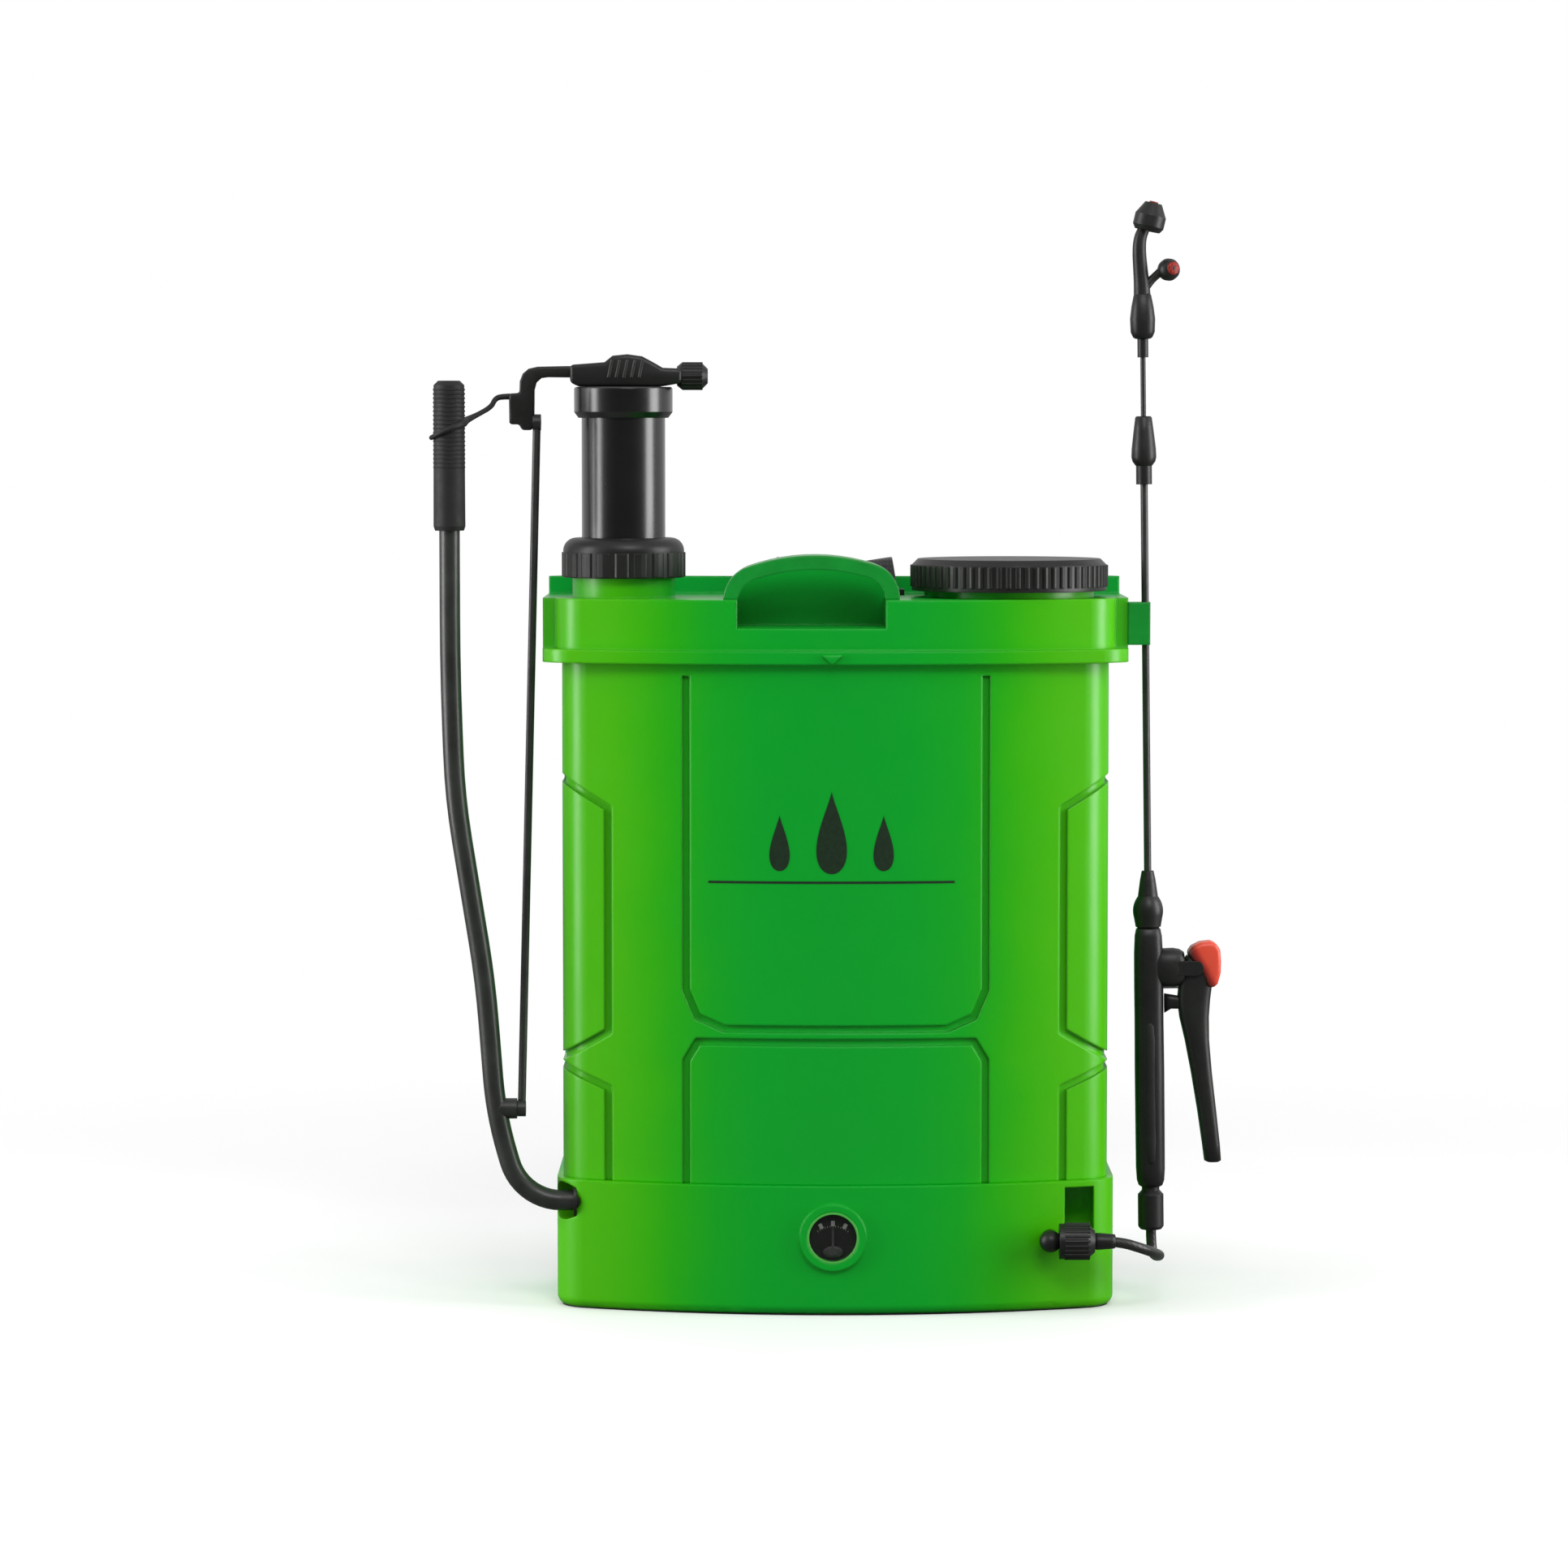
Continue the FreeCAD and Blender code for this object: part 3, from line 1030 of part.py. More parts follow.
def straps():
    """Two padded shoulder straps: anchors, hump over the deck, pad, buckle and lower webbing."""
    back = float(S.casing_back + S.bead_proud - S.casing_hollow)
    deck = float(DECK)
    hump = float(DECK + S.hump_rise)
    out = float(S.strap_out)
    thin = float(S.webbing_thick)
    low = float(S.strap_low)
    anchor = float(S.anchor_thick)
    pad_foot = hump - float(S.pad_long)
    buckle_top = pad_foot - 0.3
    buckle_foot = buckle_top - float(S.buckle_tall)
    upper = [(back - 34, deck + anchor + thin / 2), (back - 26, deck + anchor + thin / 2 + 3),
             (back - 14, hump), (back, hump - 1), (back + 16, hump - 16)]
    pad_line = [(back + 16.4, hump - 16.6), (back + 36, hump - 45), (back + out - 8, hump - 100),
                (back + out, hump - 170), (back + out + 2, hump - 240), (back + out - 1, pad_foot)]
    buckle_line = [(back + out - 1.5, buckle_top), (back + out - 5, buckle_foot)]
    lower = [(back + out - 5.5, buckle_foot - 0.3), (back + out - 16, buckle_foot - 26),
             (back + 24, low + 34), (back + 12, low)]
    hook_line = [(back + 12, low - 0.3), (back + 10, low - 12)]
    webbing = []
    buckles = []
    anchors = []
    for hand, side in ((-1, "left"), (1, "right")):
        webbing.append(strap_band("webbing_top_" + side, thickened(upper, thin), S.webbing_wide, hand))
        webbing.append(strap_band("webbing_low_" + side, thickened(lower, thin), S.webbing_wide, hand))
        buckles.append(strap_band("buckle_" + side, thickened(buckle_line, S.buckle_thick),
                                  S.buckle_wide, hand))
        anchors.append(strap_band("hook_" + side, thickened(hook_line, S.buckle_thick),
                                  S.webbing_wide, hand))
        node(strap_band("pad_" + side, thickened(pad_line, S.pad_thick), S.pad_wide, hand),
             "shoulder_pad_" + side)
    across = S.strap_apart + S.webbing_wide / 2 + 4
    anchors.append(block("anchor_plate", (-across, across), (back - 40, back - 24), (DECK, DECK + anchor)))
    node(fused("webbing", webbing), "strap_webbing")
    node(fused("buckles", buckles), "strap_buckles")
    node(fused("anchors", anchors), "strap_anchors")


# ---------------------------------------------------------------- the wand

def leaning(turn=UP):
    """A direction as the leaning wand holds it."""
    return Rotation(Vector(0, 1, 0), -float(S.wand_lean)).multiply(turn)


def on_wand(across, along, ahead=0):
    """A place on the wand: across it to the right, and along it from its foot."""
    across = dim(across)
    along = dim(along)
    lean_sine = sine(S.wand_lean)
    lean_cosine = cosine(S.wand_lean)
    return (S.wand_right + across * lean_cosine - along * lean_sine, -S.wand_ahead - ahead,
            S.wand_foot + across * lean_sine + along * lean_cosine)


def wand_turned(name, profile, across=0, along=0, turn=UP):
    return turned(name, profile, on_wand(across, along), leaning(turn))


def wand_tube(name, outer, inner, low, high, across=0, along=0, turn=UP):
    return tube(name, outer, inner, low, high, on_wand(across, along), leaning(turn))


def wand_plate(name, outline, thick, edge=0):
    """A flat piece of the wand: its side view, padded to both sides of the wand's middle."""
    owner = body(name)
    pad(owner, "XZ_Plane", [outline], thick, middle=True)
    if float(edge) > 0:
        round_edges(owner, edge, outer_faces(float(thick) / 2))
    return seat(owner, on_wand(0, 0), leaning())


def outer_faces(half):
    """Picks the edges that run round a flat piece's two sides."""
    def chosen(edge):
        box = edge.BoundBox
        return box.YLength < 0.01 and abs(abs(box.YMin) - half) < 0.01
    return chosen


def handle_and_trigger():
    """The wand's handle with its valve, the sprung trigger, its pin and the red lock."""
    half = S.grip_half
    foot = S.grip_foot
    grip_top = foot + S.grip_tall
    top = grip_top + S.body_tall
    body_half = S.body_half
    grip = wand_plate("grip_blank", [
        (-half, foot), (half, foot), (half + 0.4, (foot + grip_top) / 2), (half - 0.4, grip_top),
        (body_half, grip_top + 6), (body_half, top), (-body_half, top), (-body_half, grip_top),
        (-half, grip_top - 8)], S.grip_thick * 2, 4)
    boss = wand_tube("valve_boss", S.boss_round, 0, 0, S.boss_end, 0, S.boss_level, RIGHT)
    guard = wand_plate("guard", [
        (0, S.guard_level - S.guard_tall), (S.guard_end - 6, S.guard_level - S.guard_tall),
        (S.guard_end, S.guard_level), (S.guard_end - 4, S.guard_level + S.guard_tall * 0.4),
        (0, S.guard_level)], S.guard_half * 2)
    drilled = wand_tube("stem_bore", S.valve_stem_out + S.bore_gap, 0, S.boss_end - S.stem_deep - 2,
                        S.boss_end + 1, 0, S.stem_level, RIGHT)
    socket = wand_tube("ball_socket", S.ferrule_out, 0, top - 10, top + 1)
    node(cut("handle_finished", fused("handle_solid", [grip, boss, guard]), [drilled, socket]),
         "trigger_handle")
    node(wand_turned("tail_nut", [
        (0, 0), (S.tail_out - 1.5, 0), (S.tail_out, 2), (S.tail_out, S.tail_tall - 3),
        (S.tail_neck, S.tail_tall), (S.tail_neck, foot), (0, foot)]), "hose_tail_nut")
    trigger(S.trigger_across, S.boss_level)


def trigger(across, level):
    """The trigger lever swings on its pin; a slot in it clears the handle's guard."""
    foot = S.trigger_foot
    head = S.trigger_round
    lever_plate = wand_plate("trigger_blank", [
        (across + 4, foot), (across + 17, foot), (across + 15.5, foot + 8),
        (across + 10, level - 24, across + 8.6, foot + 76), (across + head, level),
        (across - head * 0.7, level + head * 0.7, across + head * 0.2, level + head * 1.02),
        (across - S.trigger_across + S.stem_end, S.stem_level + 5),
        (across - S.trigger_across + S.stem_end, S.stem_level - 5),
        (across - 4, level - 24), (across - 9, foot + 86), (across - 6, foot + 50)],
        S.trigger_half * 2, 2)
    slot_low = S.guard_level - S.guard_tall - 6
    slot = wand_plate("guard_slot", [
        (across - 30, slot_low), (S.guard_end + 4.5, slot_low), (S.guard_end + 4.5, S.guard_level + 4),
        (across - 30, S.guard_level + 4)], S.guard_half * 2 + S.trigger_swing_gap * 2)
    bore = S.trigger_pin_out + S.bore_gap
    hole = wand_tube("pin_hole", bore, 0, -20, 20, across, level, FRONT)
    room = trigger_lock("lock_room", across, level, S.lock_gap)
    node(cut("trigger_finished", lever_plate, [slot, hole, room]), "trigger_lever")
    reach = S.trigger_half + 2.2
    pin = wand_tube("pin_rod", S.trigger_pin_out, 0, -reach, reach, across, level, FRONT)
    cheek_low = S.trigger_half + S.trigger_swing_gap
    cheeks = []
    for hand in (-1, 1):
        near = min(hand * float(cheek_low), hand * float(reach))
        cheek = wand_tube("cheek_%d" % (hand + 1), 5, 0, near, near + float(reach - cheek_low),
                          across, level, FRONT)
        cheeks.append(cheek)
    arms = wand_plate("cheek_arms", [
        (S.boss_end - 6, level - 5), (across, level - 5), (across, level + 5),
        (S.boss_end - 6, level + 5)], reach * 2)
    space = wand_plate("cheek_space", [
        (S.boss_end - 1, level - 16), (across + 16, level - 16), (across + 16, level + 16),
        (S.boss_end - 1, level + 16)], cheek_low * 2)
    boss = wand_tube("cheek_clearance", S.boss_round, 0, 0, S.boss_end, 0, level, RIGHT)
    frame = cut("cheek_frame", fused("cheek_solid", [arms] + cheeks), [space, boss])
    node(fused("pin_and_cheeks", [frame, pin]), "trigger_pin")
    node(trigger_lock("lock_hood", across, level), "trigger_lock")
    node(wand_tube("valve_rod", S.valve_stem_out, 0, S.boss_end - S.stem_deep, S.stem_end - S.side_gap,
                   0, S.stem_level, RIGHT), "valve_stem")


def trigger_lock(name, across, level, grow=0):
    """The red lock: a hood round the outside of the trigger's head, or the room it takes up."""
    inner = S.trigger_round + S.lock_gap
    outer = S.lock_out
    half = S.trigger_half + grow
    whole = wand_tube(name + "_ring", outer + grow * 2, inner - grow, -half, half, across, level, FRONT)
    away = wand_plate(name + "_trim", [
        (across - outer - 4, level - outer - 4), (across + outer * 0.55 - grow * 4, level - outer - 4),
        (across + inner * 0.82 - grow * 4, level - inner * 0.62), (across, level),
        (across - inner * 0.6, level + inner * 0.95), (across - outer * 0.75, level + outer + 4),
        (across - outer - 4, level + outer + 4)], half * 2 + 4)
    return cut(name, whole, [away])


def lance():
    """The telescopic lance: ball nut, lower tube, collet and nut, and the sliding upper tube."""
    ball = S.ball_foot
    high = ball + S.ball_tall
    top = high + S.ferrule_tall
    bore = S.lance_out + S.thread_gap
    out = S.ball_out
    node(wand_turned("ball", [
        (bore, ball + 0.2), (S.body_half - 1, ball + 0.2), (out, ball + S.ball_tall * 0.35),
        (S.ferrule_out + 1.6, high, out, ball + S.ball_tall * 0.7), (S.ferrule_out, top - 6),
        (S.ferrule_out - 1.2, top), (bore, top)]), "lance_nut")
    node(wand_tube("lower_tube", S.lance_out, S.lance_out - S.lance_wall, S.lance_foot, S.lance_top),
         "lance_tube_lower")
    foot = S.telescope_foot
    node(wand_turned("collet", [
        (bore, foot), (S.telescope_collar, foot), (S.telescope_collar, S.telescope_nut_foot - 2),
        (S.lance_out + 0.9, S.telescope_nut_foot - 2), (S.lance_out + 0.9, S.lance_top),
        (bore, S.lance_top)]),
        "telescope_collet")
    nut = S.telescope_nut_foot
    tip = S.telescope_nut_top
    inner = S.lance_out - S.lance_wall - S.inner_gap
    hold = S.lance_out + 0.9 + S.bore_gap
    node(wand_turned("telescope_nut_body", [
        (hold, nut), (S.telescope_nut_out - 1, nut), (S.telescope_nut_out, nut + 4),
        (S.telescope_nut_tip, tip - 2), (S.telescope_nut_tip - 1.5, tip), (inner + S.side_gap, tip),
        (inner + S.side_gap, S.lance_top + S.side_gap), (hold, S.lance_top + S.side_gap)]), "telescope_nut")
    node(wand_tube("upper_tube", inner, inner - S.inner_wall, S.inner_foot, S.inner_top), "lance_tube_upper")


def nozzle():
    """The twin nozzle: ferrule, hex nut, forked body, two caps and their red tips."""
    inner = S.lance_out - S.lance_wall - S.inner_gap
    foot = S.ferrule_foot
    node(wand_tube("nozzle_ferrule_body", S.nozzle_ferrule_out, inner + S.thread_gap, foot,
                   S.nozzle_nut_foot - 0.5), "nozzle_ferrule")
    nut = S.nozzle_nut_foot
    nut_top = nut + S.nozzle_nut_tall
    spigot = inner + S.thread_gap + 1
    hexagon = body("nozzle_nut_body")
    radius = S.nozzle_nut_out
    corners = [(radius * round(math.cos(math.radians(60 * k)), 6),
                radius * round(math.sin(math.radians(60 * k)), 6)) for k in range(6)]
    pad(hexagon, "XY_Plane", [corners, circle(0, 0, spigot + S.bore_gap)], S.nozzle_nut_tall)
    seat(hexagon, on_wand(0, nut), leaning())
    node(hexagon, "nozzle_nut")
    half = S.nozzle_half
    top = S.nozzle_top
    tilt = Rotation(Vector(0, 1, 0), float(S.top_tilt))
    stem = wand_turned("nozzle_stem", [
        (inner + S.thread_gap, nut - 0.3), (spigot, nut - 0.3), (spigot, nut_top + 0.3),
        (half + 0.6, nut_top + 0.3), (half, nut_top + 6), (half * 0.9, S.side_level + 8),
        (half * 0.86, top - 14), (inner + S.thread_gap, top - 14)])
    crown_at = on_wand(0, top - 16)
    crown = turned("nozzle_crown", [(0, 0), (half * 0.9, 0), (half * 0.86, 19.5), (0, 19.5)], crown_at,
                   leaning(tilt))
    side = wand_tube("nozzle_side", S.side_out, 0, 0, S.side_reach, 0, S.side_level, RIGHT)
    node(fused("nozzle_built", [stem, crown, side]), "nozzle_body")
    ball = S.cap_ball
    start = S.side_reach - 2
    node(wand_turned("side_cap", [
        (S.side_out + S.bore_gap, start), (ball - 2, start), (ball, start + 4), (ball, start + 8),
        (S.tip_out + 2, start + S.side_cap_long), (S.tip_out + S.side_gap, start + S.side_cap_long),
        (S.tip_out + S.side_gap, S.side_reach + 0.3), (S.side_out + S.bore_gap, S.side_reach + 0.3)],
        0, S.side_level, RIGHT), "nozzle_cap_side")
    cap = S.top_cap_out
    tall = S.top_cap_tall
    node(turned("top_cap", [
        (half * 0.9 + S.bore_gap, 15), (cap - 2, 15), (cap, 18), (cap, 15 + tall * 0.55),
        (cap * 0.55, 15 + tall), (S.tip_out + S.side_gap, 15 + tall), (S.tip_out + S.side_gap, 19.8),
        (half * 0.9 + S.bore_gap, 19.8)], crown_at, leaning(tilt)), "nozzle_cap_top")
    side_tip = wand_tube("side_tip", S.tip_out, 0, S.side_reach, start + S.side_cap_long + 0.8, 0,
                         S.side_level, RIGHT)
    top_tip = turned("top_tip", [(0, 19.5), (S.tip_out, 19.5), (S.tip_out, 16 + tall), (0, 16 + tall)],
                     crown_at, leaning(tilt))
    node(fused("tips", [side_tip, top_tip]), "nozzle_tips")


def wand_hose():
    """The short hose from the outlet nut round to the wand's tail nut, in arcs and straights."""
    nut = (S.outlet_to, -S.outlet_ahead, S.outlet_level)
    nut_ahead = S.outlet_ahead
    tail = on_wand(0, 0)
    route = [nut, (191, -nut_ahead, 50), (208, -80, 44), (219, -65, 38), (222, -47, 34), (219, -35, 32),
             on_wand(0, -14), tail]
    radii = []
    shape = round_bar(route, S.wand_hose_out, radii=radii)
    node(solid("hose", shape), "wand_hose")
    length = bent_path(route).Length
    section = math.pi * float(S.wand_hose_out) ** 2
    print("hose radii", " ".join("%.1f" % radius for radius in radii))
    print("hose %.1f mm long, volume %.0f, section x length %.0f" % (length, shape.Volume, section * length))


def finish():
    """Checks every object, then writes each node to its own file."""
    doc.recompute()
    broken = [piece.Name for piece in doc.Objects if "Invalid" in piece.State or "Error" in piece.State]
    assert not broken, "failed objects: " + ", ".join(broken)
    for piece in NODES:
        assert not piece.Shape.isNull() and piece.Shape.isValid(), piece.Label + " is not a valid shape"
    os.makedirs("parts", exist_ok=True)
    for piece in NODES:
        piece.Shape.exportStep("parts/%s.step" % piece.Label)
        print("%-24s %3d solids %12.0f mm3" % (piece.Label, len(piece.Shape.Solids), piece.Shape.Volume))


tank()
carry_handle()
base()
base_floor()
voltmeter()
battery_pump()
switch_and_socket()
outlet()
lid()
chamber()
chamber_head()
linkage()
lever()
lance_clip()
straps()
handle_and_trigger()
lance()
nozzle()
wand_hose()
finish()
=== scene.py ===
"""Looks of a backpack sprayer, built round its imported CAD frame. Units are metres."""
import math

import bmesh
import bpy
from mathutils import Matrix, Vector


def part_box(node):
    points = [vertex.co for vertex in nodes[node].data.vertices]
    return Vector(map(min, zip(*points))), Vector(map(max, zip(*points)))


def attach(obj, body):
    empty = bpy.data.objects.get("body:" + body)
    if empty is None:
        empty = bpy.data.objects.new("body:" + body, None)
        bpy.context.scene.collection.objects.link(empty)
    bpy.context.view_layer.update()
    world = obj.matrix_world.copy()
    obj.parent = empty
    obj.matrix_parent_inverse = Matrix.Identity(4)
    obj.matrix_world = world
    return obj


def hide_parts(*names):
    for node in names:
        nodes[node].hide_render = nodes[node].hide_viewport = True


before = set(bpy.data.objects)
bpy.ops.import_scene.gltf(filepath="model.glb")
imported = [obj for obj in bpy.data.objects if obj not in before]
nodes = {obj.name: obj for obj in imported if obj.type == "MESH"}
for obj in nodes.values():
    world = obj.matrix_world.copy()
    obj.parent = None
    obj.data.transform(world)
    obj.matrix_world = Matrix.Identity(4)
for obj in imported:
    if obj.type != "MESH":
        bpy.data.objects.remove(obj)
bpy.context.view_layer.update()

scene = bpy.context.scene
scene.view_settings.view_transform = "Standard"

# ---------------------------------------------------------------- camera
# A long lens from three and a half metres, straight on to the sprayer's front and a little above
# its middle, so that the lid and the floor edge of the base are seen almost edge on.
lens = bpy.data.cameras.new("camera")
camera = bpy.data.objects.new("camera", lens)
scene.collection.objects.link(camera)
scene.camera = camera
camera.location = (-0.035, -3.59, 0.603)
aim = Vector((-0.035, -0.09, 0.360))
camera.rotation_euler = (aim - camera.location).to_track_quat("-Z", "Y").to_euler()
lens.sensor_width = 36
lens.lens = 120.1
lens.clip_end = 60

# ---------------------------------------------------------------- spray hose
# A short black PVC hose with a braid under its skin. It is pushed on the barb of the outlet, loops
# down beside the base and goes up into the tail of the wand's handle.


def linear(code):
    """An sRGB hex value as the linear colour that a shader takes."""
    parts = [int(code[i:i + 2], 16) / 255 for i in (0, 2, 4)]
    return tuple(p / 12.92 if p <= 0.04045 else ((p + 0.055) / 1.055) ** 2.4 for p in parts) + (1.0,)


def add(tree, kind, links=None, **settings):
    """Adds a node; links gives each input a socket or a plain value."""
    made = tree.nodes.new(kind)
    for name, value in settings.items():
        setattr(made, name, value)
    for name, value in (links or {}).items():
        if isinstance(value, bpy.types.NodeSocket):
            tree.links.new(value, made.inputs[name])
        else:
            made.inputs[name].default_value = value
    return made


def ramp(tree, value, stops):
    """Colours between the given stops of (place, sRGB hex)."""
    made = add(tree, "ShaderNodeValToRGB", {"Fac": value})
    while len(made.color_ramp.elements) < len(stops):
        made.color_ramp.elements.new(0.5)
    for element, (place, code) in zip(made.color_ramp.elements, stops):
        element.position = place
        element.color = linear(code)
    return made.outputs["Color"]


class Finish:
    """A material under construction: its tree, its shader and its Object coordinates."""

    def __init__(self, name, **shader):
        self.material = bpy.data.materials.new(name)
        self.material.use_nodes = True
        self.tree = self.material.node_tree
        self.shader = self.tree.nodes["Principled BSDF"]
        for key, value in shader.items():
            self.shader.inputs[key.replace("_", " ")].default_value = value
        self.place = add(self.tree, "ShaderNodeTexCoord").outputs["Object"]

    def noise(self, millimetres, detail=3.0, stretch=(1, 1, 1)):
        """Noise whose grains are about that many millimetres across."""
        where = add(self.tree, "ShaderNodeMapping", {"Vector": self.place, "Scale": stretch})
        return add(self.tree, "ShaderNodeTexNoise", {
            "Vector": where.outputs["Vector"], "Scale": 1000 / millimetres,
            "Detail": detail}).outputs["Fac"]

    def colour(self, socket):
        """Sets the base colour."""
        self.tree.links.new(socket, self.shader.inputs["Base Color"])

    def rough(self, socket, low, high):
        """Roughness that follows a pattern between two values."""
        made = add(self.tree, "ShaderNodeMapRange", {"Value": socket, "To Min": low, "To Max": high})
        self.tree.links.new(made.outputs["Result"], self.shader.inputs["Roughness"])

    def relief(self, socket, depth, soften=0.0):
        """Bumps by a pattern, its full swing being depth metres; soften rounds the hard edges."""
        links = {"Height": socket, "Strength": 1.0, "Distance": depth}
        if soften:
            links["Normal"] = add(self.tree, "ShaderNodeBevel", {"Radius": soften},
                                  samples=4).outputs["Normal"]
        made = add(self.tree, "ShaderNodeBump", links)
        self.tree.links.new(made.outputs["Normal"], self.shader.inputs["Normal"])


def dress(finish, *names):
    """Gives CAD nodes a finish."""
    for name in names:
        for slot in nodes[name].material_slots:
            slot.material = finish.material


def put(name, mesh, finish=None):
    """A new object at the origin."""
    made = bpy.data.objects.new(name, mesh)
    scene.collection.objects.link(made)
    if finish:
        mesh.materials.clear()
        mesh.materials.append(finish.material)
    return made


# PVC: soft satin, with the braid showing through as a faint diamond of 2.5 mm.
hose_pvc = Finish("extruded_pvc_braided", Roughness=0.36, IOR=1.53)
hose_wear = hose_pvc.noise(14)
hose_pvc.colour(ramp(hose_pvc.tree, hose_wear, [(0.3, "131412"), (0.7, "21231F")]))
hose_around = add(hose_pvc.tree, "ShaderNodeTexWave", {
    "Vector": hose_pvc.place, "Scale": 400 / 2.5, "Distortion": 0.4}, bands_direction="DIAGONAL")
hose_pvc.rough(hose_wear, 0.28, 0.45)
hose_pvc.relief(hose_around.outputs["Fac"], 0.00006)

hose_points = [
    (0.1750, -0.086, 0.0500), (0.1910, -0.086, 0.0500), (0.2080, -0.080, 0.0440),
    (0.2190, -0.065, 0.0380), (0.2220, -0.047, 0.0340), (0.2190, -0.035, 0.0320),
    (0.2170, -0.030, 0.0360), (0.2168, -0.030, 0.0500)]
hose_line = bpy.data.curves.new("spray_hose", "CURVE")
hose_line.dimensions = "3D"
hose_spline = hose_line.splines.new("NURBS")
hose_spline.points.add(len(hose_points) - 1)
for knot, at in zip(hose_spline.points, hose_points):
    knot.co = (*at, 1.0)
hose_spline.order_u = 3
hose_spline.use_endpoint_u = True
hose_spline.resolution_u = 12
hose_line.bevel_depth = 0.0035
hose_line.bevel_resolution = 6
hose_line.materials.append(hose_pvc.material)
spray_hose = put("spray_hose", hose_line)
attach(spray_hose, "root")
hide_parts("wand_hose")

# ---------------------------------------------------------------- base housing
# An injection-moulded polypropylene shell. The light runs through it: lime where it curls round to
# the sides, emerald across the middle. Its floor is a black plate held by six screws.


def two_greens(finish, painted_shade_from):
    """Emerald in the middle, lime towards the sides, and a flat emerald behind that is painted shade for the
    rear parts.
    """
    tree = finish.tree
    axes = add(tree, "ShaderNodeSeparateXYZ", {"Vector": finish.place}).outputs
    aside = add(tree, "ShaderNodeMath", {0: axes["X"]}, operation="ABSOLUTE").outputs["Value"]
    cloud = add(tree, "ShaderNodeMath", {0: finish.noise(60, 2.0), 1: 0.02}, operation="MULTIPLY_ADD")
    cloud.inputs[2].default_value = -0.01
    spread = add(tree, "ShaderNodeMath", {0: aside, 1: cloud.outputs["Value"]}, operation="ADD")
    share = add(tree, "ShaderNodeMapRange", {
        "Value": spread.outputs["Value"], "From Min": 0.0, "From Max": 0.2}).outputs["Result"]
    front = ramp(tree, share, [
        (0.0, "00A82B"), (0.25, "00A929"), (0.42, "0EAB20"), (0.55, "25B00C"), (0.64, "38B501"),
        (0.74, "46B800"), (1.0, "52BA00")])
    # Painted shade: from the given depth back, the colour turns to a flat emerald that stands in for the rear's
    # shade.
    behind = add(tree, "ShaderNodeMapRange", {
        "Value": axes["Y"], "From Min": painted_shade_from, "From Max": painted_shade_from + 0.035})
    greens_and_shaded_back = add(tree, "ShaderNodeMix", {"Factor": behind.outputs["Result"], "A": front,
                                       "B": linear("02A336")}, data_type="RGBA")
    return greens_and_shaded_back.outputs["Result"]


# PP straight from the mould: a low gloss from the tool's fine spark texture of 0.4 mm.
base_pp = Finish("moulded_polypropylene_green", Roughness=0.34, IOR=1.49, Specular_IOR_Level=0.3,
                 Subsurface_Weight=0.08, Subsurface_Scale=0.01)
# Painted shade on the base's rear: behind y = -0.03 m its green turns to a flat emerald.
base_pp.colour(two_greens(base_pp, -0.03))
base_pp.rough(base_pp.noise(9), 0.28, 0.4)
base_pp.relief(base_pp.noise(0.9, 2.0), 0.00003, 0.0016)
dress(base_pp, "base")

# Black ABS: satin with a fine grain, a little greyer where hands rub it.
black_abs = Finish("moulded_abs_black", Roughness=0.42, IOR=1.54, Specular_IOR_Level=0.35)
black_abs.colour(ramp(black_abs.tree, black_abs.noise(22), [(0.3, "0F100F"), (0.7, "1B1D1A")]))
black_abs.rough(black_abs.noise(5), 0.34, 0.5)
black_abs.relief(black_abs.noise(0.8, 2.0), 0.00004, 0.0007)
dress(black_abs, "base_plate", "switch_frame", "charging_socket", "tank_outlet", "pump_head")

# Zinc-plated steel: bright, with a fine turned grain.
zinc = Finish("zinc_plated_steel", Metallic=1.0, Roughness=0.3)
zinc.colour(ramp(zinc.tree, zinc.noise(3), [(0.3, "9DA0A1"), (0.7, "C6C8C6")]))
zinc.rough(zinc.noise(0.7, 2.0, (1, 1, 6)), 0.22, 0.42)
zinc.relief(zinc.noise(0.7, 2.0, (1, 1, 6)), 0.00002)
dress(zinc, "base_screws", "trigger_pin", "valve_stem")

# ---------------------------------------------------------------- voltmeter
# A round gauge pressed into the front of the base: a green bezel, a black printed face with pale
# marks, a needle on a grey hub and a clear acrylic window.
gauge_low, gauge_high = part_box("voltmeter_dial")
gauge_middle = (gauge_low + gauge_high) / 2
gauge_face = gauge_low.y
case_low, case_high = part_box("voltmeter_case")

# Bezel: glossy green moulding outside, black inside.
bezel = Finish("moulded_gauge_case", Roughness=0.25, IOR=1.53)
bezel_at = add(bezel.tree, "ShaderNodeMapping", {"Vector": bezel.place}, vector_type="POINT")
bezel_at.inputs["Location"].default_value = -Vector((gauge_middle.x, 0, gauge_middle.z))
bezel_at.inputs["Scale"].default_value = (1, 0, 1)
bezel_out = add(bezel.tree, "ShaderNodeVectorMath", {0: bezel_at.outputs["Vector"]}, operation="LENGTH")
bezel_share = add(bezel.tree, "ShaderNodeMapRange", {
    "Value": bezel_out.outputs["Value"], "From Min": 0.0155, "From Max": 0.0162})
bezel.colour(ramp(bezel.tree, bezel_share.outputs["Result"], [(0.0, "0B0C0B"), (1.0, "4DB848")]))
bezel.relief(bezel.noise(0.8, 2.0), 0.00002, 0.0006)
dress(bezel, "voltmeter_case")

# Dial: matt black print with a faint speckle.
dial_print = Finish("printed_dial_black", Roughness=0.6, IOR=1.5)
dial_print.colour(ramp(dial_print.tree, dial_print.noise(1.2), [(0.3, "0A0B0A"), (0.7, "151715")]))
dial_print.relief(dial_print.noise(0.5, 2.0), 0.00001)
dress(dial_print, "voltmeter_dial")

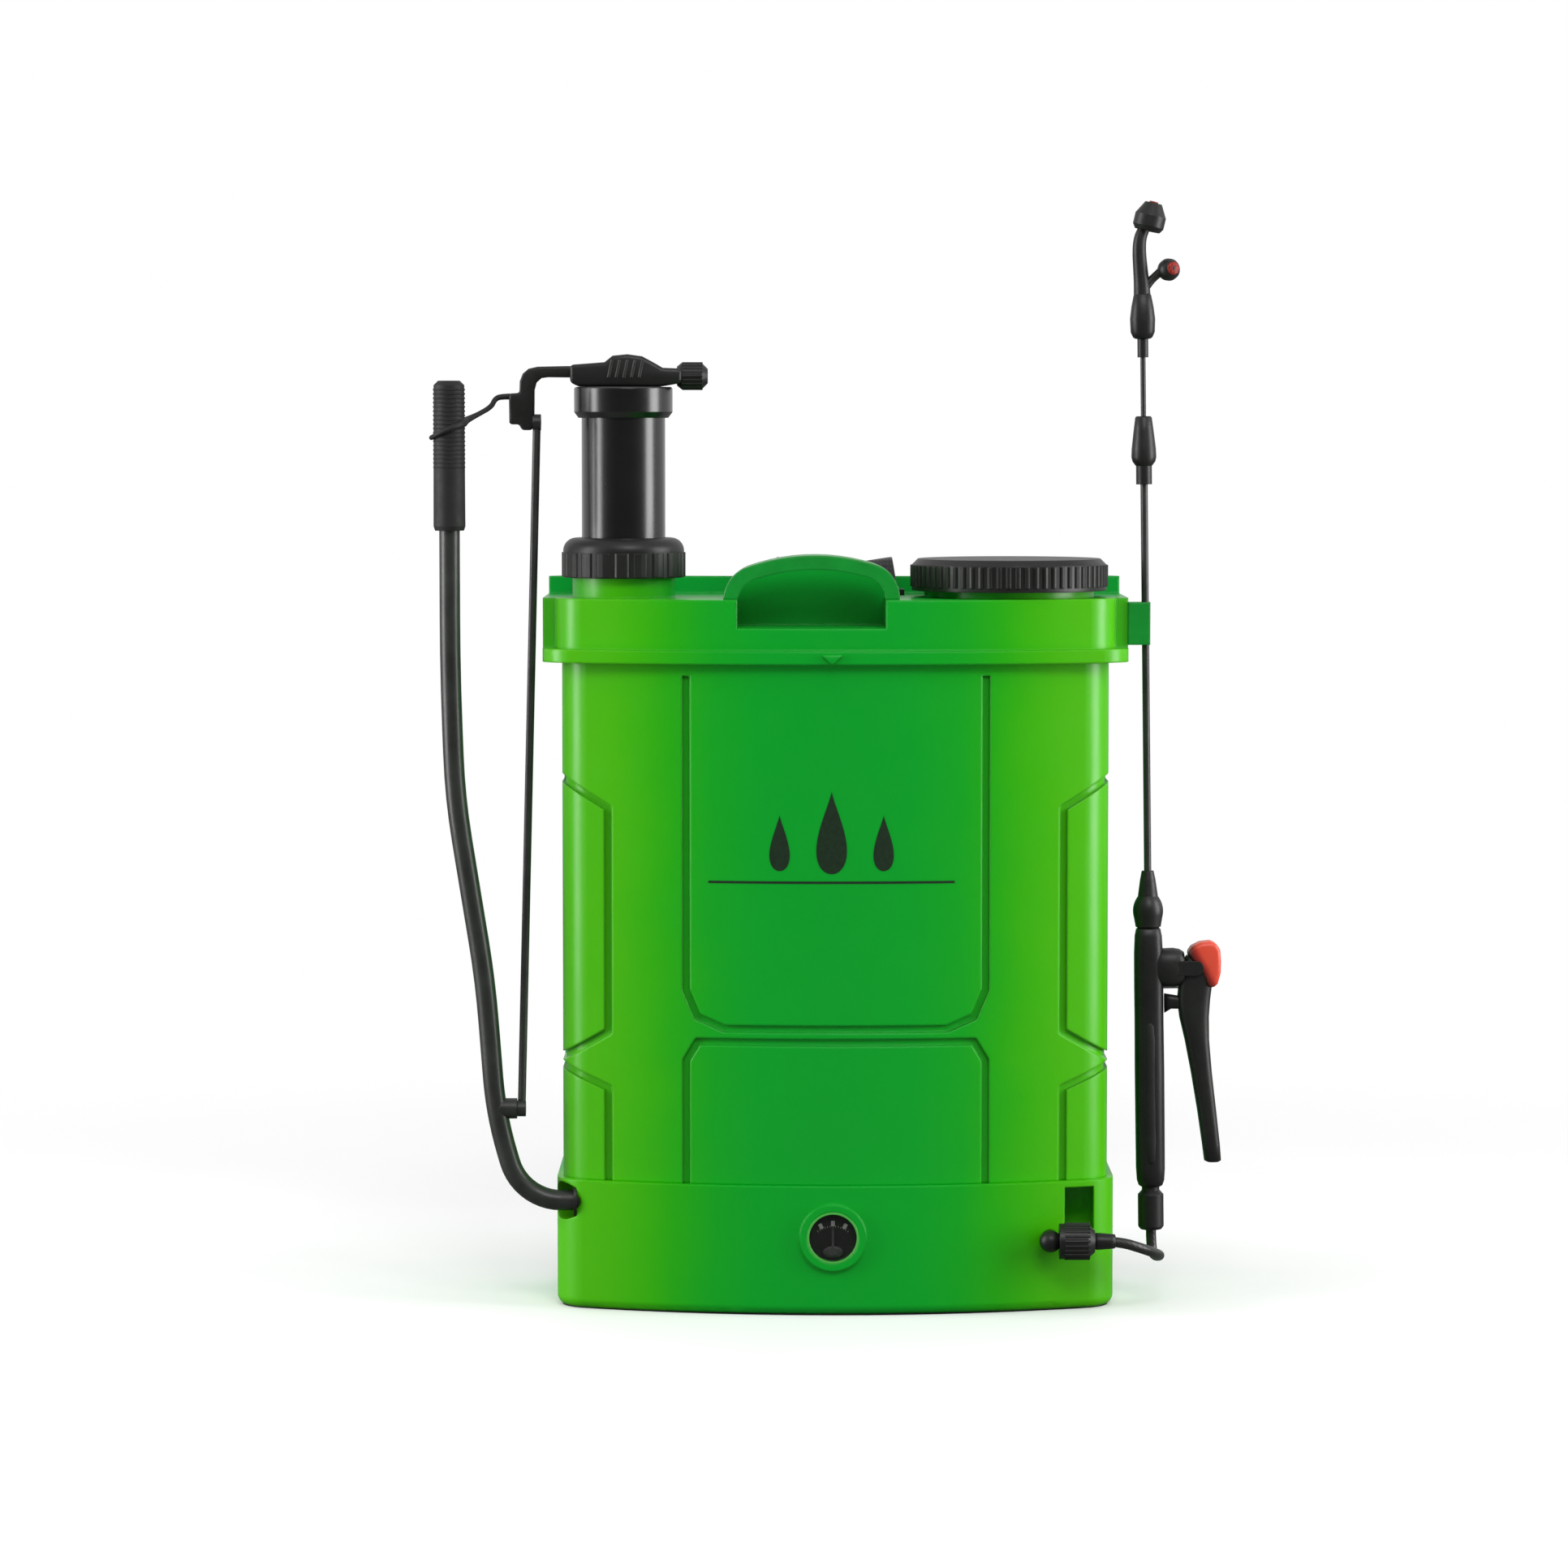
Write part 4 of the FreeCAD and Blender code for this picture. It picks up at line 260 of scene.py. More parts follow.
# Needle and marks: off-white paint.
pale_paint = Finish("painted_off_white", Roughness=0.5, IOR=1.5)
pale_paint.colour(ramp(pale_paint.tree, pale_paint.noise(2), [(0.3, "A0A19C"), (0.7, "BCBDB8")]))
pale_paint.relief(pale_paint.noise(0.4, 2.0), 0.00001)
needle_paint = Finish("painted_grey", Roughness=0.5, IOR=1.5)
needle_paint.colour(ramp(needle_paint.tree, needle_paint.noise(2), [(0.3, "3C3E3B"), (0.7, "4C4E4B")]))
needle_paint.relief(needle_paint.noise(0.4, 2.0), 0.00001)
dress(needle_paint, "voltmeter_needle")

# Window: clear cast acrylic with hairline scuffs. So thin a sheet shows as a faint gloss only.
acrylic = Finish("cast_acrylic_clear", Roughness=0.04, IOR=1.49, Alpha=0.12)
acrylic.colour(ramp(acrylic.tree, acrylic.noise(8), [(0.3, "0C0D0C"), (0.7, "141614")]))
acrylic.rough(acrylic.noise(0.4, 2.0, (1, 1, 20)), 0.02, 0.09)
dress(acrylic, "voltmeter_lens")


def geometry(name, inputs):
    """An empty Geometry Nodes tree with named inputs: (name, socket kind, default)."""
    tree = bpy.data.node_groups.new(name, "GeometryNodeTree")
    tree.interface.new_socket("Geometry", in_out="OUTPUT", socket_type="NodeSocketGeometry")
    for label, kind, value in inputs:
        made = tree.interface.new_socket(label, in_out="INPUT", socket_type="NodeSocket" + kind)
        if value is not None:
            made.default_value = value
    return tree, add(tree, "NodeGroupInput").outputs


def grown(name, tree, finish, **inputs):
    """Runs a tree on an empty mesh and keeps the result as a plain mesh at the origin."""
    seed = put(name + "_seed", bpy.data.meshes.new(name + "_seed"))
    made = seed.modifiers.new("grow", "NODES")
    made.node_group = tree
    inputs["Finish"] = finish.material
    for item in tree.interface.items_tree:
        if item.in_out == "INPUT" and item.name in inputs:
            made[item.identifier] = inputs[item.name]
    mesh = bpy.data.meshes.new_from_object(seed.evaluated_get(bpy.context.evaluated_depsgraph_get()))
    bpy.data.objects.remove(seed)
    mesh.name = name
    return put(name, mesh)


def marks_tree():
    """Flat marks along an arc, facing the front."""
    tree, given = geometry("scale_marks", [
        ("Count", "Int", 9), ("Radius", "Float", 0.01), ("Sweep", "Float", 1.6),
        ("Long", "Float", 0.002), ("Wide", "Float", 0.0005), ("Place", "Vector", None),
        ("Finish", "Material", None)])
    line = add(tree, "GeometryNodeMeshLine", {"Count": given["Count"], "Offset": (0, 0, 0)},
               mode="OFFSET")
    index = add(tree, "GeometryNodeInputIndex").outputs["Index"]
    last = add(tree, "ShaderNodeMath", {0: given["Count"], 1: 1.0}, operation="SUBTRACT")
    share = add(tree, "ShaderNodeMath", {0: index, 1: last.outputs["Value"]}, operation="DIVIDE")
    centred = add(tree, "ShaderNodeMath", {0: share.outputs["Value"], 1: 0.5}, operation="SUBTRACT")
    angle = add(tree, "ShaderNodeMath", {0: centred.outputs["Value"], 1: given["Sweep"]},
                operation="MULTIPLY").outputs["Value"]
    across = add(tree, "ShaderNodeMath", {0: angle}, operation="SINE")
    up = add(tree, "ShaderNodeMath", {0: angle}, operation="COSINE")
    spot = add(tree, "ShaderNodeCombineXYZ", {"X": across.outputs["Value"], "Z": up.outputs["Value"]})
    out = add(tree, "ShaderNodeVectorMath", {0: spot.outputs["Vector"], "Scale": given["Radius"]},
              operation="SCALE")
    moved = add(tree, "GeometryNodeSetPosition", {
        "Geometry": line.outputs["Mesh"], "Position": out.outputs["Vector"]})
    size = add(tree, "ShaderNodeCombineXYZ", {"X": given["Wide"], "Y": 0.0002, "Z": given["Long"]})
    mark = add(tree, "GeometryNodeMeshCube", {"Size": size.outputs["Vector"]})
    turn = add(tree, "ShaderNodeCombineXYZ", {"Y": angle})
    many = add(tree, "GeometryNodeInstanceOnPoints", {
        "Points": moved.outputs["Geometry"], "Instance": mark.outputs["Mesh"],
        "Rotation": turn.outputs["Vector"]})
    placed = add(tree, "GeometryNodeTransform", {
        "Geometry": many.outputs["Instances"], "Translation": given["Place"]})
    real = add(tree, "GeometryNodeRealizeInstances", {"Geometry": placed.outputs["Geometry"]})
    finished = add(tree, "GeometryNodeSetMaterial", {
        "Geometry": real.outputs["Geometry"], "Material": given["Finish"]})
    add(tree, "NodeGroupOutput", {"Geometry": finished.outputs["Geometry"]})
    return tree


scale_marks = marks_tree()
hub_height = 0.044
fine_marks = grown("gauge_fine_marks", scale_marks, pale_paint, Count=13, Radius=0.0168, Sweep=1.3,
                   Long=0.0012, Wide=0.0003, Place=(gauge_middle.x, gauge_face - 0.0002, hub_height))
bold_marks = grown("gauge_bold_marks", scale_marks, pale_paint, Count=3, Radius=0.0188, Sweep=0.9,
                   Long=0.0036, Wide=0.0026, Place=(gauge_middle.x, gauge_face - 0.0002, hub_height))
def oval(middle, across, ahead, wide, deep, power=2.0, count=28):
    """A ring of points round a middle: an ellipse at power 2, squarer above it."""
    ring = []
    for step in range(count):
        turn = 2 * math.pi * step / count
        cos, sin = math.cos(turn), math.sin(turn)
        along = math.copysign(abs(cos) ** (2 / power), cos) * wide
        out = math.copysign(abs(sin) ** (2 / power), sin) * deep
        ring.append(Vector(middle) + across * along + ahead * out)
    return ring


def loft(name, rings, finish):
    """A closed skin over a row of rings."""
    form = bmesh.new()
    rows = [[form.verts.new(point) for point in ring] for ring in rings]
    for near, far in zip(rows, rows[1:]):
        for index in range(len(near)):
            after = (index + 1) % len(near)
            form.faces.new((near[index], near[after], far[after], far[index]))
    for row in (rows[0], rows[-1]):
        form.faces.new(row)
    bmesh.ops.recalc_face_normals(form, faces=form.faces)
    for face in form.faces:
        face.smooth = True
    mesh = bpy.data.meshes.new(name)
    form.to_mesh(mesh)
    form.free()
    return put(name, mesh, finish)


hub_rings = []
for ahead, share in ((0.0, 1.0), (0.0007, 0.94), (0.0011, 0.8), (0.0013, 0.4)):
    hub_rings.append(oval((gauge_middle.x, gauge_face - ahead, gauge_low.z + 0.0058), Vector((1, 0, 0)),
                          Vector((0, 0, 1)), 0.0072 * share, 0.0042 * share))
gauge_hub = loft("gauge_hub", hub_rings, needle_paint)
for piece in (fine_marks, bold_marks, gauge_hub):
    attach(piece, "root")

# ---------------------------------------------------------------- battery, pump and inner hoses
# Out of sight in the base: a sealed battery, a drawn steel motor with its diaphragm head, and two
# short silicone hoses.

# Battery case: charcoal ABS with a coarse shrink texture.
battery_abs = Finish("moulded_abs_charcoal", Roughness=0.5, IOR=1.54)
battery_abs.colour(ramp(battery_abs.tree, battery_abs.noise(30), [(0.3, "26272A"), (0.7, "34363A")]))
battery_abs.relief(battery_abs.noise(1.2), 0.00006, 0.001)
dress(battery_abs, "battery")

# Motor can: drawn steel with lengthwise draw lines.
drawn_steel = Finish("drawn_steel_can", Metallic=1.0, Roughness=0.32)
drawn_steel.colour(ramp(drawn_steel.tree, drawn_steel.noise(6), [(0.3, "8E9192"), (0.7, "B5B7B6")]))
drawn_steel.rough(drawn_steel.noise(0.6, 2.0, (0.05, 1, 1)), 0.25, 0.45)
dress(drawn_steel, "pump_motor")

# Silicone: milky and soft.
silicone = Finish("extruded_silicone_milky", Roughness=0.3, IOR=1.41, Subsurface_Weight=0.4)
silicone.colour(ramp(silicone.tree, silicone.noise(10), [(0.3, "C2C8C2"), (0.7, "DDE2DD")]))
silicone.relief(silicone.noise(1.5), 0.00003)
dress(silicone, "pump_hoses")

# ---------------------------------------------------------------- switch
# A red rocker in a black frame on the right side of the base, with a row of grip lines.
red_pp = Finish("moulded_polypropylene_red", Roughness=0.36, IOR=1.49, Subsurface_Weight=0.05,
                Subsurface_Scale=0.004)
red_pp.colour(ramp(red_pp.tree, red_pp.noise(7), [(0.3, "C5301E"), (0.7, "DC4530")]))
red_pp.rough(red_pp.noise(3), 0.3, 0.44)
red_pp.relief(red_pp.noise(0.8, 2.0), 0.00003, 0.0008)
dress(red_pp, "power_switch")

# ---------------------------------------------------------------- hose outlet
# A black fitting screwed into the base and a knurled nut that holds the hose on it.
dress(black_abs, "outlet_fitting", "outlet_nut", "hose_tail_nut")


def ribs_tree():
    """Half-round ribs spaced evenly round an axis, standing on the skin of a cap or a nut."""
    tree, given = geometry("ribs_round_axis", [
        ("Count", "Int", 24), ("Radius", "Float", 0.01), ("Rib", "Float", 0.001),
        ("Long", "Float", 0.01), ("Flat", "Float", 1.0), ("Place", "Vector", None),
        ("Turn", "Vector", None), ("Finish", "Material", None)])
    round_line = add(tree, "GeometryNodeMeshCircle", {
        "Vertices": given["Count"], "Radius": given["Radius"]})
    where = add(tree, "GeometryNodeInputPosition").outputs["Position"]
    facing = add(tree, "FunctionNodeAlignRotationToVector", {"Vector": where}, axis="X")
    rod = add(tree, "GeometryNodeMeshCylinder", {
        "Vertices": 8, "Radius": given["Rib"], "Depth": given["Long"]})
    flat = add(tree, "ShaderNodeCombineXYZ", {"X": given["Flat"], "Y": 1.0, "Z": 1.0})
    many = add(tree, "GeometryNodeInstanceOnPoints", {
        "Points": round_line.outputs["Mesh"], "Instance": rod.outputs["Mesh"],
        "Rotation": facing.outputs["Rotation"], "Scale": flat.outputs["Vector"]})
    placed = add(tree, "GeometryNodeTransform", {
        "Geometry": many.outputs["Instances"], "Translation": given["Place"],
        "Rotation": given["Turn"]})
    real = add(tree, "GeometryNodeRealizeInstances", {"Geometry": placed.outputs["Geometry"]})
    finished = add(tree, "GeometryNodeSetMaterial", {
        "Geometry": real.outputs["Geometry"], "Material": given["Finish"]})
    add(tree, "NodeGroupOutput", {"Geometry": finished.outputs["Geometry"]})
    return tree


ribs_round_axis = ribs_tree()
SIDEWAYS = (0, math.pi / 2, 0)
nut_low, nut_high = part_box("outlet_nut")
nut_middle = (nut_low + nut_high) / 2
outlet_ribs = grown("outlet_nut_ribs", ribs_round_axis, black_abs, Count=22, Rib=0.0009,
                    Radius=(nut_high.z - nut_low.z) / 2 - 0.0002, Long=0.017, Flat=0.9,
                    Place=tuple(nut_middle), Turn=SIDEWAYS)
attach(outlet_ribs, "outlet_nut")

RIGHT, AHEAD, UP = Vector((1, 0, 0)), Vector((0, -1, 0)), Vector((0, 0, 1))
sleeve_rings = []
for place, radius in ((0.1745, 0.0050), (0.1760, 0.0058), (0.1790, 0.0057), (0.1850, 0.0052),
                      (0.1885, 0.0048), (0.1890, 0.0036)):
    sleeve_rings.append(oval((place, -0.086, 0.050), AHEAD, UP, radius, radius))
hose_sleeve = loft("hose_sleeve", sleeve_rings, black_abs)
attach(hose_sleeve, "root")

# ---------------------------------------------------------------- tank
# A blow-moulded polyethylene tank with its carrying handle and the clip for the lance. The wall is
# slightly wavy, as blown walls are, and light soaks into it.
tank_pe = Finish("blow_moulded_polyethylene_green", Roughness=0.3, IOR=1.51, Specular_IOR_Level=0.35,
                 Subsurface_Weight=0.1, Subsurface_Scale=0.012)
# Painted shade on the tank's rear: behind y = -0.045 m its green turns to a flat emerald.
tank_pe.colour(two_greens(tank_pe, -0.045))
tank_pe.rough(tank_pe.noise(25), 0.24, 0.38)
tank_wave = add(tank_pe.tree, "ShaderNodeMath", {0: tank_pe.noise(1.6, 2.0), 1: 0.06},
                operation="MULTIPLY").outputs["Value"]
tank_blown = add(tank_pe.tree, "ShaderNodeMath", {0: tank_pe.noise(70, 1.0), 1: tank_wave},
                 operation="ADD").outputs["Value"]
tank_pe.relief(tank_blown, 0.0006, 0.0022)
dress(tank_pe, "tank")

# Silk-screened mark in dark ink: three drops over a line, lying on the crowned panel.
ink = Finish("silk_screen_ink_dark", Roughness=0.45, IOR=1.5)
ink.colour(ramp(ink.tree, ink.noise(2.5), [(0.3, "05200A"), (0.7, "0A2E10")]))
ink.relief(ink.noise(0.8, 2.0), 0.00002)


def drop(across, foot, wide, tall):
    """The outline of a falling drop."""
    line = []
    for step in range(40):
        turn = 2 * math.pi * step / 40
        pinch = math.sin(turn / 2) ** 1.6
        line.append((across + wide / 2 * math.sin(turn) * pinch, foot + tall / 2 * (1 + math.cos(turn))))
    return line


def printed(name, outlines):
    """Flat prints cut into 4 mm columns and laid a hair's breadth off the tank's front."""
    form = bmesh.new()
    for outline in outlines:
        form.faces.new([form.verts.new((x, 0, z)) for x, z in outline])
    for column in range(-26, 27):
        bmesh.ops.bisect_plane(form, geom=form.verts[:] + form.edges[:] + form.faces[:],
                               plane_co=(column * 0.004, 0, 0), plane_no=(1, 0, 0))
    bmesh.ops.triangulate(form, faces=form.faces)
    for vert in form.verts:
        spot = nodes["tank"].ray_cast(Vector((vert.co.x, -0.3, vert.co.z)), Vector((0, 1, 0)))[1]
        vert.co.y = spot.y - 0.00015
    for face in form.faces:
        if face.normal.y > 0:
            face.normal_flip()
    mesh = bpy.data.meshes.new(name)
    form.to_mesh(mesh)
    form.free()
    return put(name, mesh, ink)


front_print = printed("front_drop_mark", [
    drop(-0.003, 0.299, 0.030, 0.056), drop(-0.038, 0.301, 0.020, 0.038),
    drop(0.032, 0.301, 0.020, 0.038),
    [(-0.086, 0.2925), (0.080, 0.2925), (0.080, 0.2942), (-0.086, 0.2942)]])
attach(front_print, "root")


def slab(name, outline, behind, deep, soften, finish):
    """A plate with rounded edges: an outline seen from the front, given its depth."""
    form = bmesh.new()
    face = form.faces.new([form.verts.new((x, behind, z)) for x, z in outline])
    pushed = bmesh.ops.extrude_face_region(form, geom=[face])["geom"]
    for vert in pushed:
        if isinstance(vert, bmesh.types.BMVert):
            vert.co.y -= deep
    bmesh.ops.recalc_face_normals(form, faces=form.faces)
    mesh = bpy.data.meshes.new(name)
    form.to_mesh(mesh)
    form.free()
    made = put(name, mesh, finish)
    round_off = made.modifiers.new("round_off", "BEVEL")
    round_off.width = soften
    round_off.segments = 4
    round_off.limit_method = "ANGLE"
    round_off.angle_limit = math.radians(40)
    for polygon in mesh.polygons:
        polygon.use_smooth = True
    return made


# A small wedge under the bead marks the middle.
wedge_spot = nodes["tank"].ray_cast(Vector((-0.0027, -0.3, 0.4435)), Vector((0, 1, 0)))[1]
middle_wedge = slab("middle_wedge", [(-0.0095, 0.4465), (-0.0027, 0.4400), (0.0041, 0.4465)],
                    wedge_spot.y + 0.0015, 0.0040, 0.0006, tank_pe)
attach(middle_wedge, "root")

# The handle and the clip are the same plastic, in its darker, thicker green.
dark_pe = Finish("moulded_polyethylene_dark_green", Roughness=0.34, IOR=1.51)
dark_pe.colour(ramp(dark_pe.tree, dark_pe.noise(24), [(0.3, "008A2A"), (0.7, "02992F")]))
dark_pe.rough(dark_pe.noise(6), 0.28, 0.42)
dark_pe.relief(dark_pe.noise(1.4, 2.0), 0.00005, 0.0018)
dress(dark_pe, "carry_handle", "lance_clip")

# ---------------------------------------------------------------- filler lid, gasket and strainer
# A wide black screw lid with a band of grip ribs, a rubber gasket under it and a white strainer.
lid_abs = Finish("moulded_polypropylene_black", Roughness=0.38, IOR=1.49,
                 Specular_IOR_Level=0.4)
lid_abs.colour(ramp(lid_abs.tree, lid_abs.noise(26), [(0.3, "121311"), (0.7, "1F211E")]))
lid_abs.rough(lid_abs.noise(6), 0.32, 0.48)
lid_abs.relief(lid_abs.noise(0.9, 2.0), 0.00004, 0.0012)
dress(lid_abs, "lid_cap")
lid_low, lid_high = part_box("lid_cap")
lid_middle = (lid_low + lid_high) / 2
lid_ribs = grown("lid_grip_ribs", ribs_round_axis, lid_abs, Count=66, Rib=0.0021, Flat=0.75,
                 Radius=(lid_high.x - lid_low.x) / 2 - 0.0004, Long=0.0145,
                 Place=(lid_middle.x, lid_middle.y, lid_middle.z - 0.0008), Turn=(0, 0, 0))
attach(lid_ribs, "lid")

# EPDM rubber: dull, slightly dusty.
rubber = Finish("moulded_epdm_rubber", Roughness=0.62, IOR=1.5, Specular_IOR_Level=0.4)
rubber.colour(ramp(rubber.tree, rubber.noise(12), [(0.3, "0F100F"), (0.7, "1A1C19")]))
rubber.rough(rubber.noise(4), 0.52, 0.72)
rubber.relief(rubber.noise(0.7, 2.0), 0.00005, 0.0005)
dress(rubber, "lid_gasket", "piston_cup")

# Natural polyethylene: milky white. On the strainer, a pattern of 2 mm holes at 3.5 mm is pressed in as dimples
# and painted dark grey, which is painted shade standing in for the holes.
white_pe = Finish("moulded_polyethylene_natural", Roughness=0.4, IOR=1.51, Subsurface_Weight=0.2)
white_pe.colour(ramp(white_pe.tree, white_pe.noise(15), [(0.3, "CFCFC7"), (0.7, "E2E2DB")]))
white_pe.relief(white_pe.noise(1.2), 0.00004, 0.0006)
dress(white_pe, "pump_cylinder", "foot_valve")
strainer_pe = Finish("polyethylene_natural_painted_hole_shade", Roughness=0.4, IOR=1.51)
hole_dimples_and_painted_shade = add(strainer_pe.tree, "ShaderNodeTexVoronoi", {
    "Vector": strainer_pe.place, "Scale": 1000 / 3.5, "Randomness": 0.0})
# Painted shade: dark grey spots where the holes would show the dark inside.
strainer_pe.colour(ramp(strainer_pe.tree, hole_dimples_and_painted_shade.outputs["Distance"], [(0.27, "3A3B38"), (0.33, "DADAD2")]))
strainer_pe.relief(hole_dimples_and_painted_shade.outputs["Distance"], 0.0003)
dress(strainer_pe, "strainer")

# ---------------------------------------------------------------- pressure chamber
# A glossy black dome that slides in the tank's neck, held by a big fluted nut. On it sit a collar,
# a ribbed cap with a cross head, and a knurled plug at its side.
chamber_gloss = Finish("polished_polypropylene_black", Roughness=0.24, IOR=1.5, Coat_Weight=0.5,
                       Coat_Roughness=0.22)
chamber_gloss.colour(ramp(chamber_gloss.tree, chamber_gloss.noise(30), [(0.3, "070807"), (0.7, "0F100E")]))
chamber_gloss.rough(chamber_gloss.noise(18), 0.22, 0.3)
chamber_gloss.relief(chamber_gloss.noise(0.9, 2.0), 0.00001, 0.0012)
dress(chamber_gloss, "air_chamber")
dress(chamber_gloss, "chamber_cap")
dress(lid_abs, "chamber_nut", "outlet_cap")
nut_box_low, nut_box_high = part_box("chamber_nut")
nut_centre = (nut_box_low + nut_box_high) / 2
nut_facets = grown("chamber_nut_facets", ribs_round_axis, lid_abs, Count=20, Rib=0.0050, Flat=0.28,
                   Radius=(nut_box_high.x - nut_box_low.x) / 2 - 0.0004, Long=0.0165,
                   Place=(nut_centre.x, nut_centre.y, nut_box_low.z + 0.0088), Turn=(0, 0, 0))
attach(nut_facets, "chamber_nut")

# The head casting: a block for the arm, a humped dome and a neck for the side plug.
cap_box_low, cap_box_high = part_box("chamber_cap")
head_left, head_foot = cap_box_low.x, cap_box_high.z
centre_x = (cap_box_low.x + cap_box_high.x) / 2
centre_y = (cap_box_low.y + cap_box_high.y) / 2
head_outline = [
    (centre_x - 0.0360, head_foot + 0.0030), (centre_x - 0.0300, head_foot + 0.0002),
    (centre_x + 0.0250, head_foot + 0.0002), (centre_x + 0.0400, head_foot + 0.0028),
    (centre_x + 0.0400, head_foot + 0.0125), (centre_x + 0.0270, head_foot + 0.0130),
    (centre_x + 0.0210, head_foot + 0.0165), (centre_x + 0.0130, head_foot + 0.0208),
    (centre_x + 0.0030, head_foot + 0.0222), (centre_x - 0.0070, head_foot + 0.0212),
    (centre_x - 0.0125, head_foot + 0.0168), (centre_x - 0.0360, head_foot + 0.0150)]
head_casting = slab("chamber_head_casting", head_outline, centre_y + 0.012, 0.024, 0.0026, lid_abs)
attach(head_casting, "air_chamber")
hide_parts("chamber_head")


def bars_tree():
    """Equal bars set side by side along a line."""
    tree, given = geometry("bars_on_line", [
        ("Count", "Int", 5), ("Start", "Vector", None), ("Step", "Vector", None),
        ("Rib", "Float", 0.001), ("Long", "Float", 0.01), ("Turn", "Vector", None),
        ("Finish", "Material", None)])
    line = add(tree, "GeometryNodeMeshLine", {
        "Count": given["Count"], "Start Location": given["Start"], "Offset": given["Step"]},
        mode="OFFSET")
    rod = add(tree, "GeometryNodeMeshCylinder", {
        "Vertices": 10, "Radius": given["Rib"], "Depth": given["Long"]})
    many = add(tree, "GeometryNodeInstanceOnPoints", {
        "Points": line.outputs["Mesh"], "Instance": rod.outputs["Mesh"], "Rotation": given["Turn"]})
    real = add(tree, "GeometryNodeRealizeInstances", {"Geometry": many.outputs["Instances"]})
    finished = add(tree, "GeometryNodeSetMaterial", {
        "Geometry": real.outputs["Geometry"], "Material": given["Finish"]})
    add(tree, "NodeGroupOutput", {"Geometry": finished.outputs["Geometry"]})
    return tree


bars_on_line = bars_tree()
head_ribs = grown("head_dome_ribs", bars_on_line, lid_abs, Count=5, Step=(0.0052, 0, 0),
                  Start=(centre_x - 0.0085, centre_y - 0.0118, head_foot + 0.0122),
                  Rib=0.0012, Long=0.0125, Turn=(0, math.radians(12), 0))
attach(head_ribs, "air_chamber")
cap_low, cap_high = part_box("outlet_cap")
cap_middle = (cap_low + cap_high) / 2
cap_ribs = grown("outlet_cap_ribs", ribs_round_axis, lid_abs, Count=20, Rib=0.0008,
                 Radius=(cap_high.z - cap_low.z) / 2 - 0.0002, Long=0.014, Flat=0.9,
                 Place=tuple(cap_middle), Turn=SIDEWAYS)
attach(cap_ribs, "outlet_cap")

# ---------------------------------------------------------------- lever, link rod and tie
# A bent steel tube with a black powder coat and a rubber grip, a thin coated rod that ties it to
# the pump arm, and a rubber band that keeps the two together in store.
powder = Finish("powder_coated_steel_black", Roughness=0.4, IOR=1.5, Coat_Weight=0.1)
powder.colour(ramp(powder.tree, powder.noise(18), [(0.3, "1C1E1B"), (0.7, "2C2F2B")]))
powder.rough(powder.noise(4), 0.32, 0.48)
powder.relief(powder.noise(1.1, 2.0), 0.00008, 0.0005)
dress(powder, "lever", "link_rod", "lance_tube_lower", "lance_tube_upper")
dress(black_abs, "lever_bush")
dress(rubber, "lever_grip")

# The arm is a moulded bracket from the head down to the rod's eye, with a lug for the tie.
arm_outline = [(x / 1000, z / 1000) for x, z in (
    (-162, 640.4), (-185, 640.2), (-203, 639.8), (-209, 638.4), (-213, 635), (-215, 630),
    (-215.3, 622), (-222, 621.6), (-222.4, 619), (-222.2, 602), (-221.6, 600.5), (-215.3, 600.5),
    (-214.6, 598.5), (-213.2, 596.6), (-207.2, 596.6), (-205.4, 600), (-205.1, 624),
    (-203.8, 629), (-200.5, 632), (-196, 632.6), (-162, 632.2))]
arm_bracket = slab("pump_arm_bracket", arm_outline, -0.0065, 0.0120, 0.0022, lid_abs)
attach(arm_bracket, "air_chamber")
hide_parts("pump_arm")


def rings_tree():
    """Raised rings along a straight line."""
    tree, given = geometry("rings_on_line", [
        ("Count", "Int", 8), ("Start", "Vector", None), ("Step", "Vector", None),
        ("Radius", "Float", 0.01), ("Bead", "Float", 0.0006), ("Turn", "Vector", None),
        ("Finish", "Material", None)])
    line = add(tree, "GeometryNodeMeshLine", {
        "Count": given["Count"], "Start Location": given["Start"], "Offset": given["Step"]},
        mode="OFFSET")
    path = add(tree, "GeometryNodeCurvePrimitiveCircle", {"Radius": given["Radius"], "Resolution": 32})
    bead = add(tree, "GeometryNodeCurvePrimitiveCircle", {"Radius": given["Bead"], "Resolution": 8})
    ring = add(tree, "GeometryNodeCurveToMesh", {
        "Curve": path.outputs["Curve"], "Profile Curve": bead.outputs["Curve"]})
    many = add(tree, "GeometryNodeInstanceOnPoints", {
        "Points": line.outputs["Mesh"], "Instance": ring.outputs["Mesh"], "Rotation": given["Turn"]})
    real = add(tree, "GeometryNodeRealizeInstances", {"Geometry": many.outputs["Instances"]})
    smooth = add(tree, "GeometryNodeSetShadeSmooth", {"Geometry": real.outputs["Geometry"]})
    finished = add(tree, "GeometryNodeSetMaterial", {
        "Geometry": smooth.outputs["Geometry"], "Material": given["Finish"]})
    add(tree, "NodeGroupOutput", {"Geometry": finished.outputs["Geometry"]})
    return tree


rings_on_line = rings_tree()
grip_low, grip_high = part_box("lever_grip")
grip_middle = (grip_low + grip_high) / 2
grip_rings = grown("lever_grip_rings", rings_on_line, rubber, Count=19, Step=(0, 0, -0.0029),
                   Start=(grip_middle.x, grip_middle.y, grip_high.z - 0.006),
                   Radius=(grip_high.x - grip_low.x) / 2 - 0.0005, Bead=0.0007, Turn=(0, 0, 0))
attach(grip_rings, "pump_lever")



